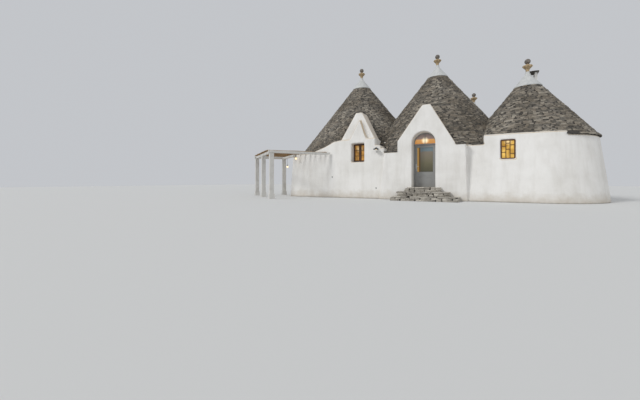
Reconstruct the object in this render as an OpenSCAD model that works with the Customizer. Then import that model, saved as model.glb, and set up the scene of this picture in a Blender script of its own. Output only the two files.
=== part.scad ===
// Trullo house: four dry-stone cones on lime-washed walls, with a pergola at its left end.
// Millimetres, +Z up. The origin is on the ground, under the middle of the doorway's front edge.
// X runs right along the front, Y runs into the house.

/* [Cones] */
// Metres that a cone's side runs out for each metre that it falls
cone_slope = 0.78; // [0.72:0.01:0.84]
// Height of the tips of the left and the middle cone
big_apex_z = 7625; // [7300:25:8000]
// Height of the tips of the right and the rear cone
small_apex_z = 6150; // [5900:25:6400]
// Place of the left cone along the front
left_x = -4500; // [-4700:50:-4300]
// Place of the middle cone along the front
middle_x = 180; // [80:20:280]
// Distance of the left and the middle cone from the front
big_cone_y = 4130; // [4000:10:4300]
// Place of the right cone along the front
right_x = 4400; // [4300:50:4500]
// Distance of the right cone from the front
right_y = 3010; // [2950:10:3070]
// Place of the rear cone along the front
rear_x = 2060; // [1960:20:2160]
// Distance of the rear cone from the front
rear_y = 8080; // [7980:20:8180]
// Height where the big cones and the rear cone start
big_eave_z = 2320; // [2280:10:2360]
// Height where the right cone starts
right_eave_z = 2800; // [2740:10:2860]
// Overhang of a cone's edge past its wall
eave_overhang = 60; // [30:10:100]
// Height of the white cap on each cone
cap_h = 720; // [600:10:800]
// Thickness of the cap's lower edge
cap_edge = 30; // [15:5:50]
// Radius of the cap's neck under the pinnacle
cap_neck_r = 95; // [80:5:110]

/* [Walls] */
// Outward lean of a round wall from its top to the ground
batter = 180; // [80:10:300]
// Outward lean of the right round wall
right_batter = 360; // [300:10:400]
// Thickness of the straight front wall
front_wall_t = 1300; // [1100:50:1400]
// Half width of the left and the middle room
big_room_half = 1850; // [1750:10:1880]
// Half width of the right and the rear room
small_room_half = 1450; // [1300:10:1500]
// Height of the left and the middle room where their vault starts
big_room_top = 3000; // [2900:10:3050]
// Height of the floor and the door sill above the ground
floor_z = 610; // [450:10:700]
// Thickness of wall between the big rooms and the rear room
rear_party_t = 650; // [500:10:800]
// Radius of the vault's foot in the big rooms
big_vault_r = 1700; // [1500:10:1750]
// Radius of the vault's foot in the small rooms
small_vault_r = 1150; // [1000:10:1200]
// Height of the vault's tip in the big rooms
big_vault_z = 6200; // [5600:50:6400]
// Height of the vault's tip in the small rooms
small_vault_z = 4900; // [4500:50:5000]
// Half width of a passage between two rooms
passage_half = 450; // [400:10:500]
// Height of a passage where its arch starts, above the floor
passage_h = 1500; // [1400:10:1650]

/* [Entrance] */
// Half width of the doorway
doorway_half = 525; // [480:5:560]
// Height of the doorway's side where its arch starts
arch_z = 2700; // [2600:10:2760]
// Depth of the door behind the wall's face
door_depth = 550; // [400:10:700]
// Left end of the entrance block at the ground
entrance_left_base = -2110; // [-2150:10:-2080]
// Left end of the entrance block at its ledge
entrance_left_top = -1840; // [-1880:10:-1800]
// Right end of the entrance block at the ground
entrance_right_base = 1860; // [1820:10:1900]
// Right end of the entrance block at its ledge
entrance_right_top = 1780; // [1740:10:1800]
// Height of the left ledge
ledge_left_z = 2320; // [2280:10:2340]
// Height of the right ledge
ledge_right_z = 2550; // [2500:10:2600]
// Height of the flat top of the entrance gable
gable_z = 4470; // [4300:10:4600]
// Left end of the gable's flat top
gable_top_x0 = -50; // [-100:10:0]
// Right end of the gable's flat top
gable_top_x1 = 310; // [260:10:360]
// Thickness of a cover slab
slab_t = 50; // [30:5:80]

/* [Door] */
// Width of the frame on its other sides
frame_w = 60; // [45:5:80]
// Depth of the door frame
frame_d = 80; // [60:5:100]
// Thickness of the door leaf
leaf_t = 45; // [35:5:55]
// Gap round the door leaf
leaf_gap = 6; // [5:1:10]
// Width of the leaf's edge round its glass
stile_w = 85; // [60:5:120]
// Height of the panel at the foot of the leaf
kick_h = 560; // [300:10:700]
// Radius of a hinge pin
pin_r = 7; // [5:1:9]

/* [Left front] */
// Left end of the left front wall at the ground
left_end_base = -7540; // [-7700:10:-7400]
// Left end of the left front wall at its top
left_end_top = -7340; // [-7500:10:-7200]
// Setback of the left front wall behind the entrance
left_setback = 200; // [120:10:300]
// Height of the low end of the left front wall
left_low_z = 2450; // [2400:10:2500]
// Height of the wall's shoulders beside its pediment
shoulder_z = 3100; // [3000:10:3200]
// Height of the pediment's tip
pediment_z = 4110; // [3900:10:4300]
// Thickness of the pediment
pediment_t = 270; // [220:10:350]
// Height of the taller gable behind the pediment
back_gable_z = 4550; // [4400:10:4700]
// Left side of the left window
left_win_x0 = -3680; // [-3720:10:-3600]
// Right side of the left window
left_win_x1 = -2960; // [-3000:10:-2900]
// Sill of the left window
left_win_z0 = 1910; // [1850:10:1950]
// Head of the left window
left_win_z1 = 2890; // [2800:10:2920]
// Depth of the left window behind the wall's face
left_win_depth = 400; // [300:10:500]

/* [Right front] */
// Left end of the right front wall
right_front_x0 = 2480; // [2460:10:2520]
// Top of the right front wall
right_front_z = 2940; // [2880:10:3000]
// Top of the link wall
link_z = 2540; // [2480:10:2600]
// Left side of the right window
right_win_x0 = 3110; // [3050:10:3150]
// Right side of the right window
right_win_x1 = 3660; // [3600:10:3700]
// Sill of the right window
right_win_z0 = 1840; // [1800:10:1900]
// Head of the right window
right_win_z1 = 2675; // [2600:10:2700]
// Depth of the right window behind the wall's face
right_win_depth = 140; // [100:10:200]
// Width of the frame of a window
win_frame_w = 50; // [40:5:70]
// Depth of the frame of a window
win_frame_d = 60; // [50:5:80]
// Width of a glazing bar
glaze_bar_w = 24; // [18:2:36]
// Width of the stile where two casements meet
meeting_stile_w = 64; // [50:2:80]

/* [Pinnacle and chimney] */
// Radius of the ball on each pinnacle
ball_r = 127; // [110:1:140]
// Radius of the lobed stone under the ball
star_r = 215; // [190:5:230]
// Height of the ball's middle above the cone's tip
ball_z = 565; // [540:5:600]
// Width of the chimney
chimney_w = 380; // [340:10:420]
// Height of the chimney's top
chimney_z = 6230; // [6150:10:6300]
// Distance of the chimney behind the right cone's tip
chimney_dy = 490; // [460:10:540]
// Distance of the chimney beside the right cone's tip
chimney_dx = 250; // [210:10:290]
// Width of each leg that carries the chimney's slab
chimney_leg = 110; // [80:5:130]
// Overhang of the chimney's slab
slab_over = 60; // [40:10:100]

/* [Steps] */
// Height of each step
step_h = 203; // [150:1:230]
// Depth of each tread
step_d = 300; // [260:10:340]
// Half widths of the top, the middle and the bottom step
step_half = [790, 1130, 1450];
// Sideways shift of each lower step against the one above it
step_shift = 50; // [0:10:80]

/* [Pergola] */
// Place of the front post along the front
pergola_x = -6990; // [-7050:10:-6930]
// Place of the front post before the front
pergola_y = -2340; // [-2400:10:-2280]
// Turn of the pergola against the front
pergola_turn = 50; // [48:0.5:52]
// Length of the pergola's outer side
pergola_len = 4000; // [3800:50:4400]
// Distance of the inner beam from the outer one
pergola_inner = 1750; // [1700:10:1800]
// Thickness of a post
post_w = 210; // [160:10:240]
// Height of the underside of the beams
beam_z = 2330; // [2300:5:2360]
// Height of a beam
beam_h = 120; // [100:5:130]
// Number of slats
slat_n = 15; // [10:1:20]
// Diameter of a slat
slat_d = 60; // [40:5:80]

/* [Hidden] */
// Reach of the planes that part one piece from the next
reach = 14000;
eps = 1;
$fn = 96;
// Facets of the large rounds, so that their edges stay true
round_fn = 360;

front_back = front_wall_t;
big_room_y1 = big_cone_y + big_room_half;
left_room_x0 = left_x - big_room_half;
left_room_x1 = left_x + big_room_half;
middle_room_x0 = middle_x - big_room_half;
middle_room_x1 = middle_x + big_room_half;
right_room_x0 = right_x - small_room_half;
right_room_x1 = right_x + small_room_half;
right_room_y0 = right_y - small_room_half;
right_room_y1 = right_y + small_room_half;
rear_room_x0 = rear_x - small_room_half;
rear_room_x1 = rear_x + small_room_half;
rear_room_y0 = big_room_y1 + rear_party_t;
rear_room_y1 = rear_y + small_room_half;
small_room_top = right_eave_z;
valley_x = (left_x + middle_x) / 2;
big_eave_r = cone_slope * (big_apex_z - big_eave_z);
rear_eave_r = cone_slope * (small_apex_z - big_eave_z);
right_eave_r = cone_slope * (small_apex_z - right_eave_z);
right_wall_r = right_eave_r - eave_overhang;
// Radius of the right round wall at a height
function right_r(z) = right_wall_r + right_batter * (1 - z / right_eave_z);
// Where the curved part of the right wall's plastered band ends, seen from the cone's middle
band_angle = 294;
band_x = right_x + right_r(right_front_z) * cos(band_angle);
band_y = right_y + right_r(right_front_z) * sin(band_angle);
// Where the right round wall's front piece ends, past its face
band_end = [right_room_x1 + (band_x - right_room_x1) * 3, right_room_y0 + (band_y - right_room_y0) * 3];
// Distance of the right front wall's leaning face from the front at a height
function right_face(z) = right_y - right_r(z);
// Where two circles in plan cross, on the side that lies to the left of the line from a to b
function crossing(a, ra, b, rb) = let (
    d = norm(b - a),
    u = (b - a) / d,
    along = (d * d + ra * ra - rb * rb) / (2 * d),
    aside = sqrt(ra * ra - along * along)
) a + along * u + aside * [-u[1], u[0]];
// The middle and the right round wall cross at the ground in this point
drums_cross = crossing([middle_x, big_cone_y], big_eave_r - eave_overhang + batter,
                       [right_x, right_y], right_r(0));
// End of the plane that parts them: it runs from the right room's corner through that point
drums_part_end = [right_room_x0, right_room_y1]
    + 6 * (drums_cross - [right_room_x0, right_room_y1]);
// Gap that keeps the link wall clear of the entrance block's leaning side
seam = 0.3;
link_top_x = entrance_right_base
    - (entrance_right_base - entrance_right_top) * link_z / ledge_right_z;
gable_left_x = -1160;
gable_left_z = 2900;
gable_foot_x = 1354;
gable_foot_z = 2630;
// Place on the gable's right slope at the height where the arch starts
gable_right_x = gable_foot_x
    - (arch_z - gable_foot_z) * (gable_foot_x - gable_top_x1) / (gable_z - gable_foot_z);
door_y = door_depth;
door_back = door_depth + frame_d;
left_wall_y = left_setback;
ledge_left_x = -1200;
ledge_right_x = gable_foot_x + 20;
// Overhang of a cover slab past its ledge, and the depths of the slabs
ledge_over = 30;
left_ledge_d = 250;
right_ledge_d = 350;
link_slab_x = 1990;
link_slab_y1 = 800;
cap_foot_r = cone_slope * cap_h + cap_edge;
cap_shoulder_r = cap_neck_r + 25;
cap_top_h = cap_h + 60;
chimney_x0 = right_x + chimney_dx - chimney_w / 2;
chimney_y0 = right_y + chimney_dy - chimney_w / 2;
chimney_foot = small_vault_z + 60;
chimney_mouth_z = chimney_z - 270;
glass_t = 12;
// Distance of a pane behind the outer face of a window's frame and of the door's frame
glass_in = 30;
frame_glass_in = 34;
// Depth of a glazing bar
bar_d = 22;
// Heights of the level bars in the right window's three lights, as shares of the light's height
bar_shares = [[0.33, 0.67], [0.5, 0.86], [0.25, 0.75]];
left_win_y = left_wall_y + left_win_depth;
right_win_y = right_face(right_win_z0) + right_win_depth;
rear_win_half = (right_win_x1 - right_win_x0) / 2;
rear_win_z0 = 1350;
rear_win_z1 = 2140;
// Places of the outer faces of the two windows at the back
rear_windows = [
    [left_x, big_cone_y + big_eave_r - eave_overhang - right_win_depth],
    [rear_x, rear_y + rear_eave_r - eave_overhang - right_win_depth]
];
hinge_x = doorway_half - frame_w;
leaf_back = door_back - 5;
leaf_y = leaf_back - leaf_t;
knuckle_r = 11;
hinge_y = door_back + knuckle_r + 1;
hinge_h = 90;
knuckle_h = hinge_h / 3;
// Gap above and below the moving knuckle
knuckle_gap = 1;
// Width of the fixed hinge leaf on the frame
hinge_leaf_w = 30;
hinge_heights = [floor_z + 250, floor_z + 1000, floor_z + 1750];
transom_z = arch_z - 70;
fan_glass_r = doorway_half - 50;
fan_bar_half = 15;
leaf_x0 = -hinge_x + leaf_gap;
leaf_x1 = hinge_x - leaf_gap;
leaf_z0 = floor_z + 8;
leaf_z1 = transom_z - leaf_gap;
hinge_ax = leaf_x1 + 3;
leaf_glass_z0 = leaf_z0 + kick_h;
handle_x = leaf_x0 + 45;
handle_z = floor_z + 1000;
plate_half = 20;
plate_half_h = 110;
plate_t = 6;
stem_r = 9;
stem_l = 44;
lever_l = 120;
plinth_w = post_w + 60;
plinth_h = 260;
beam_w = 140;
// Overhang of a beam past its last post, and its length into the wall that carries it
beam_over = 160;
into_wall = 300;
inner_beam_y0 = pergola_inner;
// Length of the front beam from its post to the face of the house
pergola_w = (left_wall_y - pergola_y) / sin(pergola_turn);
slat_over = 190;

// A prism along Y with an outline in X and Z
module prism_y(points, y0, y1)
    translate([0, y1, 0]) rotate([90, 0, 0]) linear_extrude(y1 - y0) polygon(points);

// A prism along X with an outline in Y and Z
module prism_x(points, x0, x1)
    translate([x0, 0, 0]) rotate([90, 0, 90]) linear_extrude(x1 - x0) polygon(points);

module block(x0, x1, y0, y1, z0, z1)
    translate([x0, y0, z0]) cube([x1 - x0, y1 - y0, z1 - z0]);

module zone(points, z1)
    linear_extrude(z1) polygon(points);

// The round wall under a cone, leaning in from its base
module drum(x, y, r_top, lean, z1)
    translate([x, y, 0]) cylinder(h = z1, r1 = r_top + lean, r2 = r_top, $fn = round_fn);

module big_drum(x) drum(x, big_cone_y, big_eave_r - eave_overhang, batter, big_eave_z);
module rear_drum() drum(rear_x, rear_y, rear_eave_r - eave_overhang, batter, big_eave_z);
module right_drum(z1) drum(right_x, right_y, right_r(z1), right_r(0) - right_r(z1), z1);

// A whole cone from its eave to the foot of its cap
module cone(x, y, apex, eave)
    translate([x, y, eave])
        cylinder(h = apex - cap_h - eave, r1 = cone_slope * (apex - eave), r2 = cone_slope * cap_h,
                 $fn = round_fn);

module vault(x, y, r, z0, z1)
    translate([x, y, z0]) cylinder(h = z1 - z0, r1 = r, r2 = 0, $fn = round_fn);

// Everything on the far side of the plane where two cones of one slope meet
module past_valley(ax, ay, az, bx, by, bz) {
    n = [bx - ax, by - ay, cone_slope * cone_slope * (az - bz)];
    translate([(ax + bx) / 2, (ay + by) / 2, (az + bz) / 2])
        rotate([0, acos(n[2] / norm(n)), atan2(n[1], n[0])])
            translate([-reach, -reach, 0]) cube(2 * reach);
}

// The upright hole of a doorway with a round head, running along Y
module arch_y(x, half, z0, z_arch, y0, y1) {
    block(x - half, x + half, y0, y1, z0, z_arch);
    translate([x, y1, z_arch]) rotate([90, 0, 0]) cylinder(h = y1 - y0, r = half);
}

// The same hole running along X
module arch_x(y, half, z0, z_arch, x0, x1) {
    block(x0, x1, y - half, y + half, z0, z_arch);
    translate([x0, y, z_arch]) rotate([0, 90, 0]) cylinder(h = x1 - x0, r = half);
}

// Walls of the entrance block
pier_left_outline = [
    [entrance_left_base, 0], [-doorway_half, 0], [-doorway_half, arch_z],
    [ledge_left_x, arch_z], [ledge_left_x, ledge_left_z], [entrance_left_top, ledge_left_z]
];
pier_right_outline = [
    [doorway_half, 0], [entrance_right_base, 0], [entrance_right_top, ledge_right_z],
    [ledge_right_x, ledge_right_z], [gable_foot_x, gable_foot_z], [gable_right_x, arch_z],
    [doorway_half, arch_z]
];
gable_outline = [
    [ledge_left_x, arch_z], [gable_right_x, arch_z], [gable_top_x1, gable_z],
    [gable_top_x0, gable_z], [gable_left_x, gable_left_z], [ledge_left_x, gable_left_z - 50]
];
left_wall_outline = [
    [left_end_base, 0], [entrance_left_base, 0], [entrance_left_top, ledge_left_z],
    [-1900, ledge_left_z], [-1900, 2580], [-2110, 2580], [-2110, 2730], [-2380, 2730],
    [-2380, shoulder_z], [-4350, shoulder_z], [-4710, shoulder_z - 50], [-5250, 2790],
    [-5920, 2560], [-6400, left_low_z], [left_end_top, left_low_z]
];
pediment_outline = [
    [-3820, shoulder_z], [-2830, shoulder_z], [-2900, 3210], [-2990, 3430], [-3200, pediment_z - 30],
    [-3220, pediment_z], [-3250, pediment_z - 30], [-3620, 3400], [-3720, 3210]
];
back_gable_outline = [
    [-4410, shoulder_z], [-2460, shoulder_z], [-3170, back_gable_z], [-3520, back_gable_z]
];

module floor() color("tan") {
    block(left_room_x0, left_room_x1, front_back, big_room_y1, 0, floor_z);
    block(middle_room_x0, middle_room_x1, front_back, big_room_y1, 0, floor_z);
    block(right_room_x0, right_room_x1, right_room_y0, right_room_y1, 0, floor_z);
    block(rear_room_x0, rear_room_x1, rear_room_y0, rear_room_y1, 0, floor_z);
}

module threshold() color("tan")
    block(-doorway_half, doorway_half, 0, front_back, 0, floor_z);

module entrance_pier_left() color("white") prism_y(pier_left_outline, 0, front_back);

module entrance_pier_right() color("white") prism_y(pier_right_outline, 0, front_back);

module entrance_gable() color("white") difference() {
    prism_y(gable_outline, 0, front_back);
    translate([0, front_back + eps, arch_z]) rotate([90, 0, 0])
        cylinder(h = front_back + 2 * eps, r = doorway_half);
}

module left_front_wall() color("white") difference() {
    prism_y(left_wall_outline, left_wall_y, front_back);
    block(left_win_x0, left_win_x1, left_wall_y - eps, front_back + eps, left_win_z0, left_win_z1);
}

module left_pediment() color("white")
    prism_y(pediment_outline, left_wall_y, left_wall_y + pediment_t);

module left_back_gable() color("white")
    prism_y(back_gable_outline, left_wall_y + pediment_t, front_back);

module left_drum_west() color("white") intersection() {
    big_drum(left_x);
    zone([[left_room_x0, front_back], [left_room_x0 - reach, front_back],
          [left_room_x0 - reach, big_room_y1 + reach], [left_room_x0, big_room_y1]], big_eave_z);
}

module left_drum_back() color("white") difference() {
    intersection() {
        big_drum(left_x);
        zone([[left_room_x0, big_room_y1], [left_room_x0 - reach, big_room_y1 + reach],
              [valley_x, big_room_y1 + reach], [valley_x, big_room_y1]], big_eave_z);
    }
    back_window_hole(left_x, big_room_y1 - eps, reach);
}

module middle_drum_back() color("white") intersection() {
    big_drum(middle_x);
    zone([[valley_x, big_room_y1], [valley_x, rear_room_y0 + rear_room_x0 - valley_x],
          [rear_room_x0, rear_room_y0], [rear_room_x0, big_room_y1]], big_eave_z);
}

module rear_drum_left() color("white") intersection() {
    rear_drum();
    zone([[rear_room_x0, rear_room_y0], [rear_room_x0 - reach, rear_room_y0 + reach],
          [rear_room_x0 - reach, rear_room_y1 + reach], [rear_room_x0, rear_room_y1]], big_eave_z);
}

module rear_drum_back() color("white") difference() {
    intersection() {
        rear_drum();
        zone([[rear_room_x0, rear_room_y1], [rear_room_x0 - reach, rear_room_y1 + reach],
              [rear_room_x1 + reach, rear_room_y1 + reach], [rear_room_x1, rear_room_y1]],
             big_eave_z);
    }
    back_window_hole(rear_x, rear_room_y1 - eps, reach);
}

module rear_drum_right() color("white") intersection() {
    union() {
        big_drum(middle_x);
        rear_drum();
    }
    zone([[rear_room_x1, rear_room_y1], [rear_room_x1 + reach, rear_room_y1 + reach],
          drums_part_end, [right_room_x0, right_room_y1],
          [middle_room_x1, right_room_y1 + right_room_x0 - middle_room_x1],
          [middle_room_x1, big_room_y1], [rear_room_x1, big_room_y1]], big_eave_z);
}

party_right_outline = [
    [middle_room_x1, front_back], [right_front_x0, front_back], [right_front_x0, right_room_y0],
    [right_room_x0, right_room_y0], [right_room_x0, right_room_y1],
    [middle_room_x1, right_room_y1 + right_room_x0 - middle_room_x1]
];

module party_wall_left() color("white") difference() {
    block(left_room_x1, middle_room_x0, front_back, big_room_y1, 0, big_room_top);
    arch_x(big_cone_y, passage_half, floor_z, floor_z + passage_h, left_room_x1 - eps,
           middle_room_x0 + eps);
}

module party_wall_right() color("white") difference() {
    zone(party_right_outline, small_room_top);
    arch_x(right_y, passage_half, floor_z, floor_z + passage_h, middle_room_x1 - eps,
           right_room_x0 + eps);
}

module party_wall_rear() color("white") difference() {
    block(rear_room_x0, rear_room_x1, big_room_y1, rear_room_y0, 0, small_room_top);
    arch_y((rear_room_x0 + middle_room_x1) / 2, passage_half, floor_z, floor_z + passage_h,
           big_room_y1 - eps, rear_room_y0 + eps);
}

// The wall beside the entrance block's leaning side, in line with the right front wall
module link_wall() color("white") intersection() {
    prism_y([[entrance_right_base + seam, 0], [right_front_x0, 0], [right_front_x0, link_z],
             [link_top_x + seam, link_z]], 0, front_back);
    prism_x([[right_face(0), 0], [front_back, 0], [front_back, link_z],
             [right_face(link_z), link_z]], 0, reach);
}

module right_front_wall() color("white") difference() {
    prism_x([[right_face(0), 0], [right_room_y0, 0], [right_room_y0, right_front_z],
             [right_face(right_front_z), right_front_z]], right_front_x0, right_x);
    block(right_win_x0, right_win_x1, -reach, right_room_y0 + eps, right_win_z0, right_win_z1);
}

// Ground plan under the curved stretch of the right front's plastered band
module right_band_zone()
    zone([[right_x, right_room_y0], [right_x, band_end[1]], band_end,
          [right_room_x1, right_room_y0]], right_front_z);

module right_drum_front() color("white") intersection() {
    right_drum(right_front_z);
    right_band_zone();
}

module right_drum_side() color("white") intersection() {
    right_drum(right_eave_z);
    zone([[right_room_x1, right_room_y0], band_end, [right_room_x1 + reach, right_room_y0 - reach],
          [right_room_x1 + reach, right_room_y1 + reach], [right_room_x1, right_room_y1]],
         right_eave_z);
}

right_back_outline = [
    [right_room_x1, right_room_y1], [right_room_x1 + reach, right_room_y1 + reach],
    drums_part_end, [right_room_x0, right_room_y1]
];

module right_drum_back() color("white") intersection() {
    right_drum(right_eave_z);
    zone(right_back_outline, right_eave_z);
}

// The space of the rooms, and of the walls between them, that the roofs leave free
module rooms_below_roofs() {
    block(left_room_x0, middle_room_x1, front_back, big_room_y1, 0, big_room_top);
    block(rear_room_x0, rear_room_x1, big_room_y1, rear_room_y1, 0, small_room_top);
    zone(party_right_outline, small_room_top);
}

module left_masonry_above_eave() {
    prism_y(left_wall_outline, left_wall_y - reach, front_back);
    prism_y(back_gable_outline, left_wall_y - reach, front_back);
}

module entrance_masonry() {
    block(-doorway_half, doorway_half, -reach, front_back, 0, arch_z);
    prism_y(pier_left_outline, -reach, front_back);
    prism_y(pier_right_outline, -reach, front_back);
    prism_y(gable_outline, -reach, front_back);
}

module right_masonry() {
    block(entrance_right_top - 80, right_front_x0, -reach, front_back, 0, link_z);
    block(right_front_x0, reach, -reach, right_room_y0, 0, right_front_z);
    block(right_room_x0, reach, right_room_y0, right_room_y1, 0, right_eave_z);
    intersection() {
        right_drum(right_eave_z);
        zone(right_back_outline, right_eave_z);
    }
}

module roof_left() color("dimgray") difference() {
    intersection() {
        cone(left_x, big_cone_y, big_apex_z, big_eave_z);
        block(left_x - reach, valley_x, -reach, reach, 0, reach);
    }
    rooms_below_roofs();
    vault(left_x, big_cone_y, big_vault_r, big_room_top, big_vault_z);
    left_masonry_above_eave();
}

module roof_middle() color("dimgray") difference() {
    intersection() {
        cone(middle_x, big_cone_y, big_apex_z, big_eave_z);
        block(valley_x, reach, -reach, reach, 0, reach);
    }
    past_valley(middle_x, big_cone_y, big_apex_z, right_x, right_y, small_apex_z);
    past_valley(middle_x, big_cone_y, big_apex_z, rear_x, rear_y, small_apex_z);
    rooms_below_roofs();
    vault(middle_x, big_cone_y, big_vault_r, big_room_top, big_vault_z);
    left_masonry_above_eave();
    entrance_masonry();
    right_masonry();
    cover_slabs();
}

module roof_right() color("dimgray") difference() {
    cone(right_x, right_y, small_apex_z, right_eave_z);
    past_valley(right_x, right_y, small_apex_z, middle_x, big_cone_y, big_apex_z);
    vault(right_x, right_y, small_vault_r, right_eave_z, small_vault_z);
    block(right_front_x0, right_x, -reach, right_room_y0, 0, right_front_z);
    right_band_zone();
    chimney_space();
}

module roof_rear() color("dimgray") difference() {
    cone(rear_x, rear_y, small_apex_z, big_eave_z);
    past_valley(rear_x, rear_y, small_apex_z, middle_x, big_cone_y, big_apex_z);
    rooms_below_roofs();
    vault(rear_x, rear_y, small_vault_r, small_room_top, small_vault_z);
    right_masonry();
}

// White plaster cap: it goes on at the cone's slope and ends in a neck under the pinnacle
module cap(x, y, apex)
    translate([x, y, apex - cap_h])
        rotate_extrude()
            polygon([[0, 0], [cap_foot_r, 0], [cap_foot_r, cap_edge],
                     [cap_shoulder_r, cap_edge + (cap_foot_r - cap_shoulder_r) / cone_slope],
                     [cap_neck_r, cap_h], [cap_neck_r - 10, cap_top_h], [0, cap_top_h]]);

module roof_caps() color("white") {
    cap(left_x, big_cone_y, big_apex_z);
    cap(middle_x, big_cone_y, big_apex_z);
    difference() {
        cap(right_x, right_y, small_apex_z);
        chimney_space();
    }
    cap(rear_x, rear_y, small_apex_z);
}

// Carved finial: a lobed stone on a short stem, with a ball on top
module pinnacle(x, y, apex) translate([x, y, apex]) {
    foot = cap_top_h - cap_h;
    difference() {
        rotate_extrude()
            polygon([[0, foot], [cap_neck_r - 15, foot], [75, foot + 70], [90, foot + 130],
                     [star_r, foot + 260], [star_r - 10, foot + 300], [110, foot + 340],
                     [65, foot + 370], [62, ball_z - 90], [0, ball_z - 90]]);
        for (a = [0 : 45 : 315])
            rotate([0, 0, a + 22.5]) translate([star_r + 12, 0, foot])
                cylinder(h = 400, r = 55);
    }
    translate([0, 0, ball_z]) sphere(r = ball_r);
}

module pinnacles() color("wheat") {
    pinnacle(left_x, big_cone_y, big_apex_z);
    pinnacle(middle_x, big_cone_y, big_apex_z);
    pinnacle(right_x, right_y, small_apex_z);
    pinnacle(rear_x, rear_y, small_apex_z);
}

module chimney_space()
    block(chimney_x0, chimney_x0 + chimney_w, chimney_y0, chimney_y0 + chimney_w,
          chimney_foot, chimney_z + slab_t);

module chimney() color("white") difference() {
    block(chimney_x0, chimney_x0 + chimney_w, chimney_y0, chimney_y0 + chimney_w,
          chimney_foot, chimney_z);
    block(chimney_x0 + chimney_leg, chimney_x0 + chimney_w - chimney_leg,
          chimney_y0 + chimney_leg, chimney_y0 + chimney_w - chimney_leg,
          chimney_mouth_z - 300, chimney_z + eps);
    block(chimney_x0 + chimney_leg, chimney_x0 + chimney_w - chimney_leg,
          chimney_y0 - eps, chimney_y0 + chimney_w + eps, chimney_mouth_z, chimney_z + eps);
    block(chimney_x0 - eps, chimney_x0 + chimney_w + eps,
          chimney_y0 + chimney_leg, chimney_y0 + chimney_w - chimney_leg,
          chimney_mouth_z, chimney_z + eps);
}

module cover_slabs() color("dimgray") {
    block(chimney_x0 - slab_over, chimney_x0 + chimney_w + slab_over,
          chimney_y0 - slab_over, chimney_y0 + chimney_w + slab_over,
          chimney_z, chimney_z + slab_t + 20);
    block(entrance_left_top - ledge_over, ledge_left_x, -ledge_over, left_ledge_d,
          ledge_left_z, ledge_left_z + slab_t);
    block(ledge_right_x, entrance_right_top + ledge_over / 2, -ledge_over, right_ledge_d,
          ledge_right_z, ledge_right_z + slab_t);
    block(link_slab_x, right_front_x0, right_face(link_z) - ledge_over, link_slab_y1,
          link_z, link_z + slab_t);
}

// Frame round the door: two sides and a transom
module door_frame() color("dimgray") {
    difference() {
        block(-doorway_half, doorway_half, door_y, door_back, floor_z, arch_z);
        block(-hinge_x, hinge_x, door_y - eps, door_back + eps, floor_z - eps, transom_z);
    }
    for (z = hinge_heights)
        hinge_pin(z);
}

// Fixed half of a hinge: a pin between two knuckles on the frame's inner face
module hinge_pin(z) {
    translate([hinge_ax, hinge_y, z])
        rotate_extrude()
            polygon([[0, 0], [knuckle_r, 0], [knuckle_r, knuckle_h], [pin_r, knuckle_h],
                     [pin_r, 2 * knuckle_h], [knuckle_r, 2 * knuckle_h], [knuckle_r, hinge_h],
                     [0, hinge_h]]);
    for (dz = [0, 2 * knuckle_h])
        block(hinge_ax, hinge_x + hinge_leaf_w, door_back, hinge_y + 5, z + dz, z + dz + knuckle_h);
}

module fanlight_frame() color("dimgray") intersection() {
    union() {
        difference() {
            translate([0, door_back, arch_z]) rotate([90, 0, 0]) cylinder(h = frame_d, r = doorway_half);
            translate([0, door_back + eps, arch_z]) rotate([90, 0, 0])
                cylinder(h = frame_d + 2 * eps, r = fan_glass_r);
        }
        block(-fan_bar_half, fan_bar_half, door_y, door_back, arch_z, arch_z + doorway_half - 20);
    }
    block(-doorway_half, doorway_half, 0, reach, arch_z, reach);
}

// A pane in a window's frame
module win_pane(x0, x1, y0, z0, z1)
    block(x0 + win_frame_w, x1 - win_frame_w, y0 + glass_in, y0 + glass_in + glass_t,
          z0 + win_frame_w, z1 - win_frame_w);

module window_glass() color("gold") {
    fanlight_panes();
    win_pane(left_win_x0, left_win_x1, left_win_y, left_win_z0, left_win_z1);
    win_pane(right_win_x0, right_win_x1, right_win_y, right_win_z0, right_win_z1);
    for (w = rear_windows)
        win_pane(w[0] - rear_win_half, w[0] + rear_win_half, w[1] - win_frame_d,
                 rear_win_z0, rear_win_z1);
}

module fanlight_panes() difference() {
    intersection() {
        translate([0, door_y + frame_glass_in + glass_t, arch_z]) rotate([90, 0, 0])
            cylinder(h = glass_t, r = fan_glass_r);
        block(-doorway_half, doorway_half, 0, reach, arch_z, reach);
    }
    block(-fan_bar_half, fan_bar_half, 0, reach, arch_z - eps, reach);
}

module door_leaf() color("slategray") difference() {
    union() {
        difference() {
            block(leaf_x0, leaf_x1, leaf_y, leaf_back, leaf_z0, leaf_z1);
            block(leaf_x0 + stile_w, leaf_x1 - stile_w, leaf_y - eps, leaf_back + eps,
                  leaf_glass_z0, leaf_z1 - stile_w);
        }
        for (z = hinge_heights)
            hinge_knuckle(z);
    }
    for (z = hinge_heights)
        translate([hinge_ax, hinge_y, z]) cylinder(h = hinge_h, r = pin_r + 0.3);
}

// Moving half of a hinge: one knuckle on the leaf's inner face
module hinge_knuckle(z) {
    z0 = z + knuckle_h + knuckle_gap;
    z1 = z + 2 * knuckle_h - knuckle_gap;
    translate([hinge_ax, hinge_y, z0]) cylinder(h = z1 - z0, r = knuckle_r);
    block(hinge_ax - 40, hinge_ax, leaf_back, hinge_y + 4, z0, z1);
}

module door_glass() color("lightblue")
    block(leaf_x0 + stile_w, leaf_x1 - stile_w, leaf_y + 16, leaf_y + 28,
          leaf_glass_z0, leaf_z1 - stile_w);

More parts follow.
